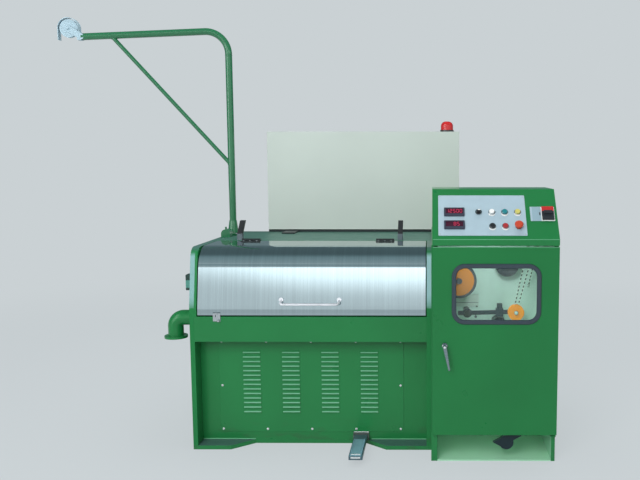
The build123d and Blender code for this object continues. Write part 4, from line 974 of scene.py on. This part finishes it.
@dataclass
class DrawingUnit(SubAssembly):
    """The drawing unit: painted frame, brushed cover, louvred panel and their fasteners."""

    sheet_screw: float = 0.0062
    panel_inset: float = 0.0145
    panel_counts: tuple[int, int] = (5, 3)
    rear_inset: float = 0.02
    rear_top_gap: float = 0.21
    rear_counts: tuple[int, int] = (6, 4)
    hinge_screw: float = 0.0045
    hinge_width: float = 0.096
    hinge_pitch: float = 0.034
    leaf: float = 0.002
    leaf_inset: float = 0.014
    sill_radius: float = 0.0028
    sill_sunk: float = 0.0005
    foot_left: float = 0.299
    foot_right: float = 0.286
    latch_tongue: float = 0.004
    slot_sizes: Row = (0.003, 0.0125, 0.0005, 0.001, 0.0001)
    slot_place: Row = (0.0125, 0.0267)
    knob_place: Row = (0.009, 0.004)
    knob: Rows = (
        (0.0, 0.0), (0.0035, 0.0), (0.0035, 0.004), (0.006, 0.005), (0.006, 0.01), (0.0045, 0.0115),
        (0.0, 0.0115),
    )

    def dress(self) -> None:
        """Give the unit's own pieces their finishes."""
        GREEN.dress("front_fascia", "recess_wall", "back_wall", "drawing_tank")
        LOUVRE_GREEN.dress("louvre_panel")
        FOOT_GREEN.dress("base_plate")
        TOP_GREEN.dress("top_plate")
        SIDE_GREEN.dress("left_side_plate", "right_side_plate")
        COVER_SHEET.dress("cover")
        GROUND.dress("drawing_cones", "die_bar")
        BLACK_STEEL.dress("cover_hinge_fixed", "cover_hinge_moving")
        STOP_RUBBER.dress("cover_stops")
        HANDLE.dress("cover_handle")
        BRIGHT.dress("cover_latch")

    def panel_fasteners(self) -> None:
        """Screws round the louvred panel and round the rear wall."""
        low, high = box("louvre_panel")
        face = box("recess_wall")[0][1] - self.leaf
        front = self.rim_screws(
            self.sheet_screw, low, high, face, self.panel_inset, self.panel_counts, FACING_FRONT
        )
        front.piece("panel_screws", SCREW)
        low, high = box("back_wall")
        top = high - (0.0, 0.0, self.rear_top_gap)
        back = self.rim_screws(
            self.sheet_screw, low, top, high[1], self.rear_inset, self.rear_counts, FACING_BACK
        )
        back.piece("rear_wall_screws", SCREW)

    def hinge_fasteners(self) -> None:
        """Three screws in every hinge leaf."""
        top = box("top_plate")[1][2] + self.leaf
        for half, body in (("fixed", Body.MACHINE), ("moving", Body.COVER)):
            low, high = box("cover_hinge_" + half)
            y = low[1] + self.leaf_inset if body is Body.COVER else high[1] - self.leaf_inset
            spots = [
                (x + shift, y, top)
                for x in (low[0] + self.hinge_width / 2, high[0] - self.hinge_width / 2)
                for shift in (-self.hinge_pitch, 0.0, self.hinge_pitch)
            ]
            cap_screw(self.hinge_screw).at(spots).piece("hinge_screws_" + half, GROUND, body)

    def trims(self) -> None:
        """Beads where the wall meets both feet; their pale colour is a painted highlight."""
        low, high = box("recess_wall")
        y, z = low[1] - self.sill_sunk, low[2] + self.sill_radius
        left = bead(low[0] + self.end_gap, -self.foot_left, y, z, self.sill_radius)
        right = bead(self.foot_right, high[0] - self.end_gap, y, z, self.sill_radius)
        (left + right).piece("sill_beads", EDGE_HIGHLIGHT)

    def latch(self) -> None:
        """The latch's tongue carries a slot, drawn as a thin dark plate whose colour is painted shade, and a
        small turned knob.
        """
        low, high = box("cover_latch")
        face = low[1] + self.latch_tongue
        slot_at = (low[0] + self.slot_place[0], face, low[2] + self.slot_place[1])
        # Painted shade: a thin dark plate stands in for the dark inside of the slot.
        slab(*self.slot_sizes).at(slot_at, FACING_FRONT).piece("latch_slot", DARK_HOLE, Body.COVER)
        knob_at = (high[0] - self.knob_place[0], face, low[2] + self.knob_place[1])
        revolve(self.knob).at(knob_at, FACING_FRONT).piece("latch_knob", BRIGHT, Body.COVER)

    def build(self) -> None:
        """Dress and fit out the drawing unit."""
        self.dress()
        self.panel_fasteners()
        self.hinge_fasteners()
        self.trims()
        self.latch()


@dataclass
class InletArm(SubAssembly):
    """The tall arm that leads the wire in: tubes, welds, bolts and its pulley."""

    weld: float = 0.003
    joint_weld: float = 0.0016
    bolt: float = 0.0065
    bolt_inset: float = 0.011
    socket_plate: float = 0.008
    axle_nut: float = 0.0095
    pole_radius: float = 0.019
    brace_radius: float = 0.011
    brace_low: float = 1.398
    brace_reach: float = 0.655
    boom_high: float = 2.145
    droop: float = 2.3

    def dress(self) -> None:
        """Paint the tubes; the pulley and its fork are bright."""
        TUBE_GREEN.dress("arm_pole", "arm_boom", "arm_brace", "pole_socket", "arm_lock_block")
        PULLEY.dress("pulley_fork", "arm_pulley")

    def welds(self) -> None:
        """Beads where the brace meets the pole and the boom, and round the pole's joint."""
        low, high = box("arm_pole")
        x, y = (low[0] + high[0]) / 2, (low[1] + high[1]) / 2
        ring = np.column_stack([circle(self.pole_radius, 32), np.zeros(32)]) + (x, y, high[2])
        sweep(ring, circle(self.joint_weld, 8), Z, True).piece("pole_joint_weld", TUBE_GREEN)
        foot = np.array([x, y, self.brace_low])
        slope = tan(radians(self.droop))
        head = np.array([x - self.brace_reach, y, self.boom_high - self.brace_reach * slope])
        along = (head - foot) / np.linalg.norm(head - foot)
        boom = np.array([-1.0, 0.0, -slope]) / np.hypot(1.0, slope)
        lower = meeting_curve(foot, along, self.brace_radius, Z, self.pole_radius)
        upper = meeting_curve(head, -along, self.brace_radius, boom, self.pole_radius)
        section = circle(self.weld, 8)
        both = sweep(lower, section, along, True) + sweep(upper, section, along, True)
        both.piece("brace_welds", TUBE_GREEN)

    def bolts(self) -> None:
        """Four bolts hold the socket's plate to the top plate."""
        low, high = box("pole_socket")
        corners = edge_spots(low, high, self.bolt_inset, (2, 2))
        spots = np.insert(corners, 2, low[2] + self.socket_plate, axis=1)
        hex_bolt(self.bolt).at(spots).piece("pole_socket_bolts", GROUND)

    def axle_nuts(self) -> None:
        """A nut on each end of the pulley's axle."""
        low, high = box("pulley_fork")
        x, _, z = sum(box("arm_pulley")) / 2
        nut = hex_bolt(self.axle_nut)
        both = nut.at((x, low[1], z), FACING_FRONT) + nut.at((x, high[1], z), FACING_BACK)
        both.piece("pulley_axle_nuts", PULLEY)

    def build(self) -> None:
        """Dress and fit out the arm."""
        self.dress()
        self.welds()
        self.bolts()
        self.axle_nuts()


@dataclass
class SideFittings(SubAssembly):
    """The drain elbow and the wire inlet on the left side."""

    screw: float = 0.004
    screw_shift: float = 0.033
    plate: float = 0.008

    def dress(self) -> None:
        """Painted elbow, dark inlet guide with a paler middle."""
        GREEN.dress("drain_elbow")
        INLET.dress("wire_inlet_guide")

    def screws(self) -> None:
        """Four screws hold the inlet guide's plate."""
        face = box("left_side_plate")[0][0] - self.plate
        _, y, z = sum(box("wire_inlet_guide")) / 2
        shifts = (-self.screw_shift, self.screw_shift)
        spots = [(face, y + a, z + b) for a in shifts for b in shifts]
        cap_screw(self.screw).at(spots, FACING_LEFT).piece("inlet_screws", GROUND)

    def build(self) -> None:
        """Dress and fit out the side fittings."""
        self.dress()
        self.screws()


@dataclass
class Pedal(SubAssembly):
    """The foot pedal with its ribbed tread and toothed edges."""

    rib: float = 0.0032
    rib_from_front: float = 0.014
    rib_gap: float = 0.006
    bumper: float = 0.0045
    bumper_drop: float = 0.01
    tooth: Row = (0.004, 0.005, 0.0035, 0.0008, 0.0004)
    tooth_inset: float = 0.003
    teeth: int = 18
    strip: float = 0.0028
    strip_inset: float = 0.003

    def dress(self) -> None:
        """Grey channel and bracket, blue-grey tread."""
        CHANNEL.dress("foot_pedal")
        PEDAL_FOOT.dress("pedal_bracket")
        TREAD.dress("pedal_tread")

    def ribs(self) -> None:
        """A raised rib across the tread, a bumper below its front end, and teeth along both sides.

        The rib and the bumper are round beads sunk to half their height; the teeth are one small
        block repeated at even steps.
        """
        low, high = box("pedal_tread")
        left, right = low[0] + self.rib_gap, high[0] - self.rib_gap
        rib = bead(left, right, low[1] + self.rib_from_front, high[2], self.rib)
        bumper = bead(left, right, low[1], high[2] - self.bumper_drop, self.bumper)
        (rib + bumper).piece("tread_ribs", SCREW, Body.PEDAL)
        y = np.linspace(low[1] + self.rib_gap, high[1] - self.rib_gap, self.teeth)
        spots = [(x, v, high[2]) for x in (low[0] + self.tooth_inset, high[0] - self.tooth_inset) for v in y]
        slab(*self.tooth).at(spots).piece("tread_teeth", TREAD, Body.PEDAL)

    def bracket(self) -> None:
        """A bright strip along the bracket's top edge."""
        low, high = box("pedal_bracket")
        left, right = low[0] + self.end_gap, high[0] - self.end_gap
        bead(left, right, high[1] - self.strip_inset, high[2], self.strip).piece("bracket_strip", SCREW)

    def build(self) -> None:
        """Dress and fit out the pedal."""
        self.dress()
        self.ribs()
        self.bracket()


@dataclass
class ElectricalCabinet(SubAssembly):
    """The cream cabinet at the back with its rear door and signal beacon."""

    latch: Rows = (
        (0.0, 0.0), (0.013, 0.0), (0.013, 0.003), (0.0104, 0.005), (0.00585, 0.005, 1.0),
        (0.00585, 0.002, 1.0), (0.0, 0.002),
    )
    latch_inset: float = 0.04
    latch_height: float = 0.14
    hinge: Rows = ((0.0, 0.0), (0.006, 0.0), (0.006, 0.07), (0.0, 0.07))
    hinge_inset: float = 0.012
    hinge_out: float = 0.004
    hinge_low: float = 0.09
    hinge_high: float = 0.16
    drip: float = 0.0022
    drip_gap: float = 0.003

    def dress(self) -> None:
        """Cream sheet, black rail and brackets, red beacon."""
        CREAM.dress("electrical_cabinet", "electrical_cabinet_door")
        BLACK_STEEL.dress("cabinet_brackets")
        BEACON.dress("beacon")

    def latches(self) -> None:
        """Two quarter-turn latches on the rear door, each a disc with a square drive."""
        low, high = box("electrical_cabinet_door")
        heights = (low[2] + self.latch_height, high[2] - self.latch_height)
        spots = [(low[0] + self.latch_inset, high[1], z) for z in heights]
        revolve(self.latch, 24, 4).at(spots, FACING_BACK).piece("cabinet_latches", CHROME)

    def hinges(self) -> None:
        """Two barrel hinges at the rear door's other edge."""
        low, high = box("electrical_cabinet_door")
        heights = (low[2] + self.hinge_low, high[2] - self.hinge_high)
        spots = [(high[0] - self.hinge_inset, high[1] + self.hinge_out, z) for z in heights]
        revolve(self.hinge, 20).at(spots).piece("cabinet_hinges", CREAM)

    def edges(self) -> None:
        """A drip bead along the front's lower edge."""
        low, high = box("electrical_cabinet")
        left, right = low[0] + self.drip_gap, high[0] - self.drip_gap
        bead(left, right, low[1], low[2] + self.drip, self.drip).piece("cabinet_drip_bead", CREAM)

    def build(self) -> None:
        """Dress and fit out the electrical cabinet."""
        self.dress()
        self.latches()
        self.hinges()
        self.edges()


@dataclass
class TakeUpCabinet(SubAssembly):
    """The take-up cabinet: green shell, door with its window, and the wire path inside."""

    trim: float = 0.0014
    collar_radius: float = 0.013
    collar_face: float = -0.6235
    collar_screw: float = 0.0026
    collar_shift: float = 0.0092
    dome: Rows = ((0.0, 0.0), (0.0058, 0.0), (0.0058, 0.0012), (0.0042, 0.0032), (0.0, 0.0042))
    bracket_face: float = -0.2685
    seam_sizes: Row = (0.112, 0.002, 0.0005, 0.0008, 0.0001)
    seam_place: Row = (0.771, 0.7027)
    dot: float = 0.0042
    dot_place: Row = (0.8196, 0.6831)
    knob_place: Row = (0.8088, -0.36, 0.643)
    knob: Rows = (
        (0.0, 0.0), (0.0048, 0.001), (0.0062, 0.004), (0.0062, 0.008), (0.0042, 0.0115), (0.0026, 0.012),
        (0.0026, 0.021), (0.0, 0.021),
    )
    axle_cap: Rows = ((0.0, 0.0), (0.0085, 0.0), (0.0085, 0.0015), (0.006, 0.0032), (0.0, 0.004))
    wire: float = 0.0027
    groove: float = 0.0335
    wires: Rows = ((1.0037, 0.7187, 1.0385, 0.8847), (1.021, 0.7187, 1.0637, 0.8793))
    third_foot: Row = (1.0817, -0.2625, 0.7875)
    third_eye: float = 1.111
    eye_high: float = 1.004
    eye_ring: float = 0.006
    eye_bar: float = 0.0018
    eye_post: float = 0.002
    wall: float = 0.004
    rear_screw: float = 0.0055
    rear_inset: float = 0.04
    rear_counts: tuple[int, int] = (4, 5)

    def dress(self) -> None:
        """Green outside, pale green bay, grey gasket and orange wheels."""
        HOUSING.dress("cabinet_sides", "cabinet_top_and_back")
        DOOR_GREEN.dress("cabinet_door", "door_pivots")
        LINER.dress("cabinet_liner")
        BRACKETS.dress("inner_brackets")
        GASKET.dress("window_gasket")
        GLASS.dress("window_glass")
        LEVER_STEEL.dress("door_lever")
        ORANGE.dress("guide_wheel_disc")
        BRIGHTER_ORANGE.dress("dancer_pulley")
        DANCER_PAINT.dress("guide_wheel_rim", "dancer_arm", "dancer_weight")
        DARK_SHAFT.dress("inner_shafts")

    def door_edges(self) -> None:
        """A bead along the door's top edge; its pale colour is a painted highlight."""
        low, high = box("cabinet_door")
        left, right = low[0] + self.end_gap, high[0] - self.end_gap
        strip = bead(left, right, low[1], high[2] - self.trim, self.trim)
        strip.piece("door_top_bead", EDGE_HIGHLIGHT, Body.DOOR)

    def lever_details(self) -> None:
        """A bright dome on the lever's head and two screws on its collar."""
        low, high = box("door_lever")
        x, z = low[0] + self.collar_radius, high[2] - self.collar_radius
        dome = revolve(self.dome).at((x, low[1], z), FACING_FRONT)
        spots = [(x + shift, self.collar_face, z) for shift in (-self.collar_shift, self.collar_shift)]
        both = dome + cap_screw(self.collar_screw).at(spots, FACING_FRONT)
        both.piece("lever_fasteners", SCREW, Body.LEVER)

    def inner_details(self) -> None:
        """A screw and a seam on the bearing bracket, a knob under the dancer and its axle's cap."""
        places = np.insert([self.seam_place, self.dot_place], 1, self.bracket_face, axis=1)
        seam = slab(*self.seam_sizes).at(places[0], FACING_FRONT)
        dot = cap_screw(self.dot).at(places[1], FACING_FRONT)
        (seam + dot).piece("bracket_seam_and_screw", DARK_HOLE)
        revolve(self.knob, 20).at(self.knob_place).piece("dancer_knob", DANCER_PAINT, Body.DANCER)
        x, _, z = sum(box("dancer_pulley")) / 2
        cap = revolve(self.axle_cap).at((x, box("dancer_arm")[0][1], z), FACING_FRONT)
        cap.piece("dancer_axle_cap", LINER, Body.DANCER)

    def wires_and_eyes(self) -> None:
        """Two wires run up from the dancer's pulley to guide eyes under the roof, a third from the rear wall.

        Each of the two is the straight line through two measured points. Its lower end lies where
        the line meets the circle of the pulley's groove, from the larger root of a quadratic.
        """
        hub = sum(box("dancer_pulley")) / 2
        roof = box("cabinet_top_and_back")[1][2] - self.wall
        for number, (x0, z0, x1, z1) in enumerate(self.wires):
            first = np.array([x0, hub[1], z0])
            along = np.array([x1, hub[1], z1]) - first
            along = along / np.linalg.norm(along)
            gap = first - hub
            half = gap @ along
            start = first + along * (np.sqrt(half**2 - gap @ gap + self.groove**2) - half)
            end = first + along * ((self.eye_high - first[2]) / along[2])
            line = sweep(np.linspace(start, end, 40), circle(self.wire, 8), Y)
            made = line.piece(f"wire_{number + 1}", WIRE, None)
            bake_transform(made)
            self.eye(end, Z, roof - end[2]).piece(f"guide_eye_{number + 1}", CHROME)
        top = np.array([self.third_eye, hub[1], self.eye_high])
        foot = np.array(self.third_foot)
        sweep(np.linspace(foot, top, 40), circle(self.wire, 8), X).piece("wire_3", WIRE)
        eyes = self.eye(top, Z, roof - top[2]) + self.eye(foot, Y, self.wall)
        eyes.piece("guide_eye_3", CHROME)

    def eye(self, centre: Array, axis: Array, stem: float) -> Shell:
        """Make a wire ring on a short stem.

        Args:
            centre: Middle of the ring.
            axis: Direction of the wire through the ring and of the stem.
            stem: Length of the stem.

        Returns:
            The ring with its stem beside it.
        """
        side = np.cross(axis, X)
        ring = centre + circle(self.eye_ring, 20) @ np.stack([X, side])
        r = self.eye_post
        post = revolve(((0.0, 0.0), (r, 0.0), (r, stem), (0.0, stem)), 12)
        placed = post.at(centre + self.eye_ring * side, np.stack([X, side, axis]))
        return sweep(ring, circle(self.eye_bar, 8), axis, True) + placed

    def fasteners(self) -> None:
        """Screws round the rear sheet."""
        low, high = box("cabinet_top_and_back")
        back = self.rim_screws(
            self.rear_screw, low, high, high[1], self.rear_inset, self.rear_counts, FACING_BACK
        )
        back.piece("cabinet_rear_screws", SCREW)

    def build(self) -> None:
        """Dress and fit out the take-up cabinet."""
        self.dress()
        self.door_edges()
        self.lever_details()
        self.inner_details()
        self.wires_and_eyes()
        self.fasteners()


class Digit(Enum):
    """Lit bars of a seven-bar digit, by the letters of the usual scheme: a on top, g in the middle."""

    ZERO = "abcdef"
    ONE = "bc"
    TWO = "abged"
    FIVE = "afgcd"
    EIGHT = "abcdefg"

    def shell(self, width: float, height: float, bar: float, thick: float) -> Shell:
        """Build the lit bars, centred on the local origin and facing local Z.

        Args:
            width: Distance between the upright bars.
            height: Distance between the top and bottom bars.
            bar: Width of a bar.
            thick: Thickness of a bar.

        Returns:
            All lit bars as one shell.
        """
        flat = slab(width - bar, bar, thick, bar / 3, 0.0001)
        tall = slab(bar, height / 2 - bar, thick, bar / 3, 0.0001)
        places = {
            "a": (flat, 0.0, 0.5), "g": (flat, 0.0, 0.0), "d": (flat, 0.0, -0.5), "b": (tall, 0.5, 0.25),
            "c": (tall, 0.5, -0.25), "e": (tall, -0.5, -0.25), "f": (tall, -0.5, 0.25),
        }
        lit = [places[letter] for letter in self.value]
        return Shell.joined([shape.at((x * width, y * height, 0.0)) for shape, x, y in lit])


@dataclass
class Console(SubAssembly):
    """The sloped console with its plate, meters, buttons and breaker."""

    rise: float = 0.224
    run: float = 0.196
    low_face: float = 0.028
    side_gap: float = 0.004
    plate: float = 0.002
    meter_floor: float = 0.007
    meter_x: float = 0.107
    meter_rows: Row = (0.155, 0.08)
    pane_sizes: Row = (0.08, 0.027, 0.0008, 0.001, 0.0002)
    pane_shift: float = 0.0045
    digit_sizes: Row = (0.0095, 0.019, 0.0024, 0.0006)
    digit_step: float = 0.0155
    upper: Sequence[Digit] = (Digit.ONE, Digit.TWO, Digit.FIVE, Digit.ZERO, Digit.ZERO)
    upper_start: float = -0.031
    lower: Sequence[Digit] = (Digit.EIGHT, Digit.FIVE)
    lower_start: float = 0.002
    buttons: Rows = ((0.283, 0.154), (0.343, 0.154), (0.404, 0.154), (0.283, 0.072), (0.343, 0.072))
    disc: Rows = ((0.0, 0.0), (0.0165, 0.0), (0.0165, 0.0004), (0.0162, 0.0006), (0.0, 0.0006))
    highlight_drop: float = 0.0045
    mark_sizes: Row = (0.013, 0.005, 0.0008, 0.001, 0.0002)
    mark_place: Row = (0.2225, 0.1555, 0.0229)
    rim_sizes: Row = (0.063, 0.082, 0.0012, 0.002, 0.0004)
    rim_place: Row = (0.5455, 0.146)
    tab_sizes: Row = (0.005, 0.016, 0.002, 0.001, 0.0004)
    tab_place: Row = (0.5076, 0.1465)
    plate_low: Row = (0.032, 0.021)
    plate_high: Row = (0.442, 0.257)
    plate_inset: float = 0.008
    plate_screw: float = 0.0026
    trim: float = 0.0014

    def face(self) -> tuple[Array, Array]:
        """Find the console's sloped face from its box.

        Returns:
            The lower left corner of the face and its axes: right, up the slope, outwards.
        """
        low = box("control_console")[0]
        corner = low + (-self.side_gap, 0.0, self.low_face)
        up = np.array([0.0, self.run, self.rise]) / np.hypot(self.run, self.rise)
        return corner, np.stack([X, up, np.cross(X, up)])

    def on_face(self, shell: Shell, spots: Array | Rows, out: float) -> Shell:
        """Put a copy of a shell at every spot of the sloped face.

        Args:
            shell: The shell, facing local Z.
            spots: Distances to the right of the face's corner and up its slope.
            out: Distance out from the face.

        Returns:
            All copies as one shell.
        """
        corner, axes = self.face()
        return shell.at(corner + np.insert(np.atleast_2d(spots), 2, out, axis=1) @ axes, axes)

    def dress(self) -> None:
        """Green housing, pale plate, dark meters, coloured buttons."""
        GREEN.dress("control_console")
        PLATE.dress("console_face_plates")
        METER.dress("panel_meters")
        BLACK.dress("button_black", "selector_switch")
        CHROME.dress("button_bezels")
        WHITE.dress("button_white")
        TEAL.dress("button_teal")
        YELLOW.dress("button_yellow")
        RED.dress("button_red")
        STOP_RED.dress("emergency_stop")
        BREAKER.dress("breaker")

    def displays(self) -> None:
        """Dark red panes and lit digits in both meters."""
        rows = [s + self.pane_shift for s in self.meter_rows]
        panes = self.on_face(slab(*self.pane_sizes), [(self.meter_x, s) for s in rows], self.meter_floor)
        panes.piece("display_panes", PANE)
        out = self.meter_floor + self.pane_sizes[2]
        for name, digits, first, s in (
            ("upper_digits", self.upper, self.upper_start, rows[0]),
            ("lower_digits", self.lower, self.lower_start, rows[1]),
        ):
            start, shapes = self.meter_x + first, [digit.shell(*self.digit_sizes) for digit in digits]
            shells = [
                self.on_face(shape, (start + self.digit_step * place, s), out)
                for place, shape in enumerate(shapes)
            ]
            Shell.joined(shells).piece(name, DIGIT)

    def details(self) -> None:
        """White discs set low behind the buttons as painted highlights under them, the selector's mark, the
        breaker's rim and tab, and screws.
        """
        # Painted highlight: white discs set below each button show as pale crescents under it.
        highlight_spots = np.array(self.buttons) - (0.0, self.highlight_drop)
        self.on_face(revolve(self.disc, 28), highlight_spots, self.plate).piece("button_highlight_discs", WHITE)
        mark = self.on_face(slab(*self.mark_sizes), self.mark_place[:2], self.mark_place[2])
        mark.piece("selector_mark", WHITE, Body.SELECTOR)
        self.on_face(slab(*self.rim_sizes), self.rim_place, self.plate).piece("breaker_rim", WHITE)
        self.on_face(slab(*self.tab_sizes), self.tab_place, self.plate).piece("breaker_tab", BLACK)
        corners = edge_spots(self.plate_low, self.plate_high, self.plate_inset, (2, 2))
        self.on_face(cap_screw(self.plate_screw), corners, self.plate).piece("plate_screws", SCREW)

    def edges(self) -> None:
        """A bead along the foot of the slope; its pale colour is a painted highlight."""
        low, high = box("control_console")
        left, right = low[0] + self.end_gap, high[0] - self.end_gap
        bead(left, right, low[1], low[2] + self.low_face, self.trim).piece("console_edge_bead", EDGE_HIGHLIGHT)

    def build(self) -> None:
        """Dress and fit out the console."""
        self.dress()
        self.displays()
        self.details()
        self.edges()


@dataclass(frozen=True)
class Lamp:
    """A square lamp that shines from its place towards a point."""

    name: str
    place: Row
    aim: Row
    size: float
    power: float

    def hang(self) -> None:
        """Tilt it by the angle between straight down and its aim, then turn it about Z."""
        data = bpy.data.lights.new(self.name, "AREA")
        data.shape = "SQUARE"
        data.size = self.size
        data.energy = self.power
        made = new_object(self.name, data)
        made.location = self.place
        x, y, z = (float(part) for part in np.array(self.aim) - np.array(self.place))
        made.rotation_euler = (atan2(float(np.hypot(x, y)), -z), 0.0, atan2(x, -y) + pi)
        made.visible_glossy = False
        made.visible_camera = False


@dataclass
class Studio:
    """Pale floor, plain light and the camera at the photograph's place."""

    photo_width: float = 640.0
    principal_x: float = 426.99
    focal: float = 739.628
    sensor: float = 36.0
    camera: Row = (0.588, -3.9863, 1.4072)
    pitch: float = 0.103
    yaw: float = -0.006
    background: Colour = screen(202, 209, 212)
    plain_light: Colour = screen(236, 240, 242)
    plain_strength: float = 0.62
    band_strength: float = 2.6
    low_share: float = 0.37
    softbox_strength: float = 4.0
    floor_glow: float = 0.8
    floor_rings: Row = (0.0, 2.0, 4.0, 8.0, 16.0, 40.0)
    sky: Rows = (
        (0.0, 1.0), (0.25, 1.0), (0.262, 0.13), (0.29, 0.18), (0.31, 0.36), (0.34, 0.2), (0.44, 0.2),
        (0.48, 0.28), (0.52, 0.22), (0.7, 0.2), (1.0, 0.15),
    )
    lamps: Sequence[Lamp] = (
        Lamp("key", (-1.2, -5.0, 3.4), (0.1, 0.0, 0.8), 3.0, 190.0),
        Lamp("top", (0.8, 0.6, 5.0), (0.2, 0.0, 0.6), 3.5, 90.0),
        Lamp("bay_low", (0.885, -0.52, 0.16), (0.885, -0.36, 0.9), 0.14, 0.7),
        Lamp("bay_high", (0.885, -0.57, 0.98), (0.885, -0.27, 0.84), 0.07, 0.62),
    )

    def build(self) -> None:
        """Set up the view, the world, the lamps, the floor and the camera."""
        bpy.context.scene.view_settings.view_transform = "Standard"
        self.world()
        for lamp in self.lamps:
            lamp.hang()
        self.floor()
        self.aim_camera()

    def world(self) -> None:
        """Plain light all round; mirrors see a bright band low ahead of the machine.

        The ramp runs over the sine of the elevation: brightest up to about 15 degrees and dark
        above. A second step dims what lies below 11 degrees, and a little more on the left.
        """
        world = bpy.data.worlds.new("studio")
        world.use_nodes = True
        bpy.context.scene.world = world
        graph = Graph(world.node_tree)
        path = graph.node("LightPath").outputs
        direction = graph.node("TexCoord").outputs["Generated"]
        x, y, z = graph.node("SeparateXYZ", {0: direction}).outputs
        left, front, height = 0.0 - Signal(graph, x), 0.0 - Signal(graph, y), Signal(graph, z)
        ramp = graph.node("ValToRGB", {0: height}, stops=self.sky)
        calm = 0.3 - 0.1 * height
        lower_edge = (height - 0.012 * left.between(0.16, 0.3)).between(0.165, 0.206)
        shares = self.low_share + (1.0 - self.low_share) * lower_edge
        band = Signal(graph, ramp.outputs[0]) * (self.band_strength * shares)
        softbox = left.between(0.5, 0.56) * left.between(0.8, 0.7) * height.between(0.9, 0.6)
        softbox = softbox * front.between(0.2, 0.4)
        mirror = calm + (band - calm) * front.between(0.1, 0.5) + self.softbox_strength * softbox
        tint = graph.mix(mirror.between(0.3, 0.9), screen(198, 232, 238), screen(240, 246, 248))
        seen = Signal(graph, path["Is Camera Ray"]) + Signal(graph, path["Is Transmission Ray"])
        shine, plain, sight = (
            graph.node("Background", {"Color": colour, "Strength": strength}).outputs[0]
            for colour, strength in (
                (tint, mirror), (self.plain_light, self.plain_strength), (self.background, 1.0)
            )
        )
        lit = graph.node("MixShader", {0: path["Is Glossy Ray"], 1: plain, 2: shine})
        final = graph.node("MixShader", {0: seen, 1: lit.outputs[0], 2: sight})
        graph.node("OutputWorld", {"Surface": final.outputs[0]})

    def floor(self) -> None:
        """A round floor that fades into the background far out.

        The disc is radius times (cos t, sin t, 0). The camera sees mostly the background's own
        colour on it, so shadows stay faint; every other ray meets a plain matt floor.
        """
        flat = [(radius, 0.0) for radius in self.floor_rings]
        shell = revolve(flat, 64)
        mesh = bpy.data.meshes.new("floor")
        mesh.from_pydata(shell.points, [], shell.quads)
        made = new_object("floor", mesh)
        material = bpy.data.materials.new("floor")
        material.use_nodes = True
        graph = Graph(material.node_tree)
        length = graph.node("VectorMath", {0: graph.place}, operation="LENGTH")
        far = Signal(graph, length.outputs["Value"]).between(2.6, 6.0)
        share = self.floor_glow + (1.0 - self.floor_glow) * far
        path = graph.node("LightPath").outputs
        seen = Signal(graph, path["Is Camera Ray"]) + Signal(graph, path["Is Glossy Ray"])
        near = graph.node("BsdfDiffuse", {"Color": self.background})
        glow = graph.node("Emission", {"Color": self.background, "Strength": 1.0})
        both = graph.node("MixShader", {0: share * seen, 1: near.outputs[0], 2: glow.outputs[0]})
        graph.node("OutputMaterial", {"Surface": both.outputs[0]})
        mesh.materials.append(material)

    def aim_camera(self) -> None:
        """Put the camera where the photograph was taken from."""
        data = bpy.data.cameras.new("camera")
        data.sensor_width = self.sensor
        data.lens = self.focal / self.photo_width * self.sensor
        data.shift_x = (self.photo_width / 2 - self.principal_x) / self.photo_width
        made = new_object("camera", data)
        made.location = self.camera
        made.rotation_euler = (pi / 2 - self.pitch, 0.0, -self.yaw)
        bpy.context.scene.camera = made


def main() -> None:
    """Build every sub-assembly in order, then the studio."""
    logging.basicConfig(level=logging.INFO, format="%(message)s")
    kinds = (DrawingUnit, InletArm, SideFittings, Pedal, ElectricalCabinet, TakeUpCabinet, Console)
    for unit in (kind() for kind in kinds):
        unit.build()
        LOG.info("%s is ready", type(unit).__name__)
    Studio().build()


if __name__ == "__main__":
    main()
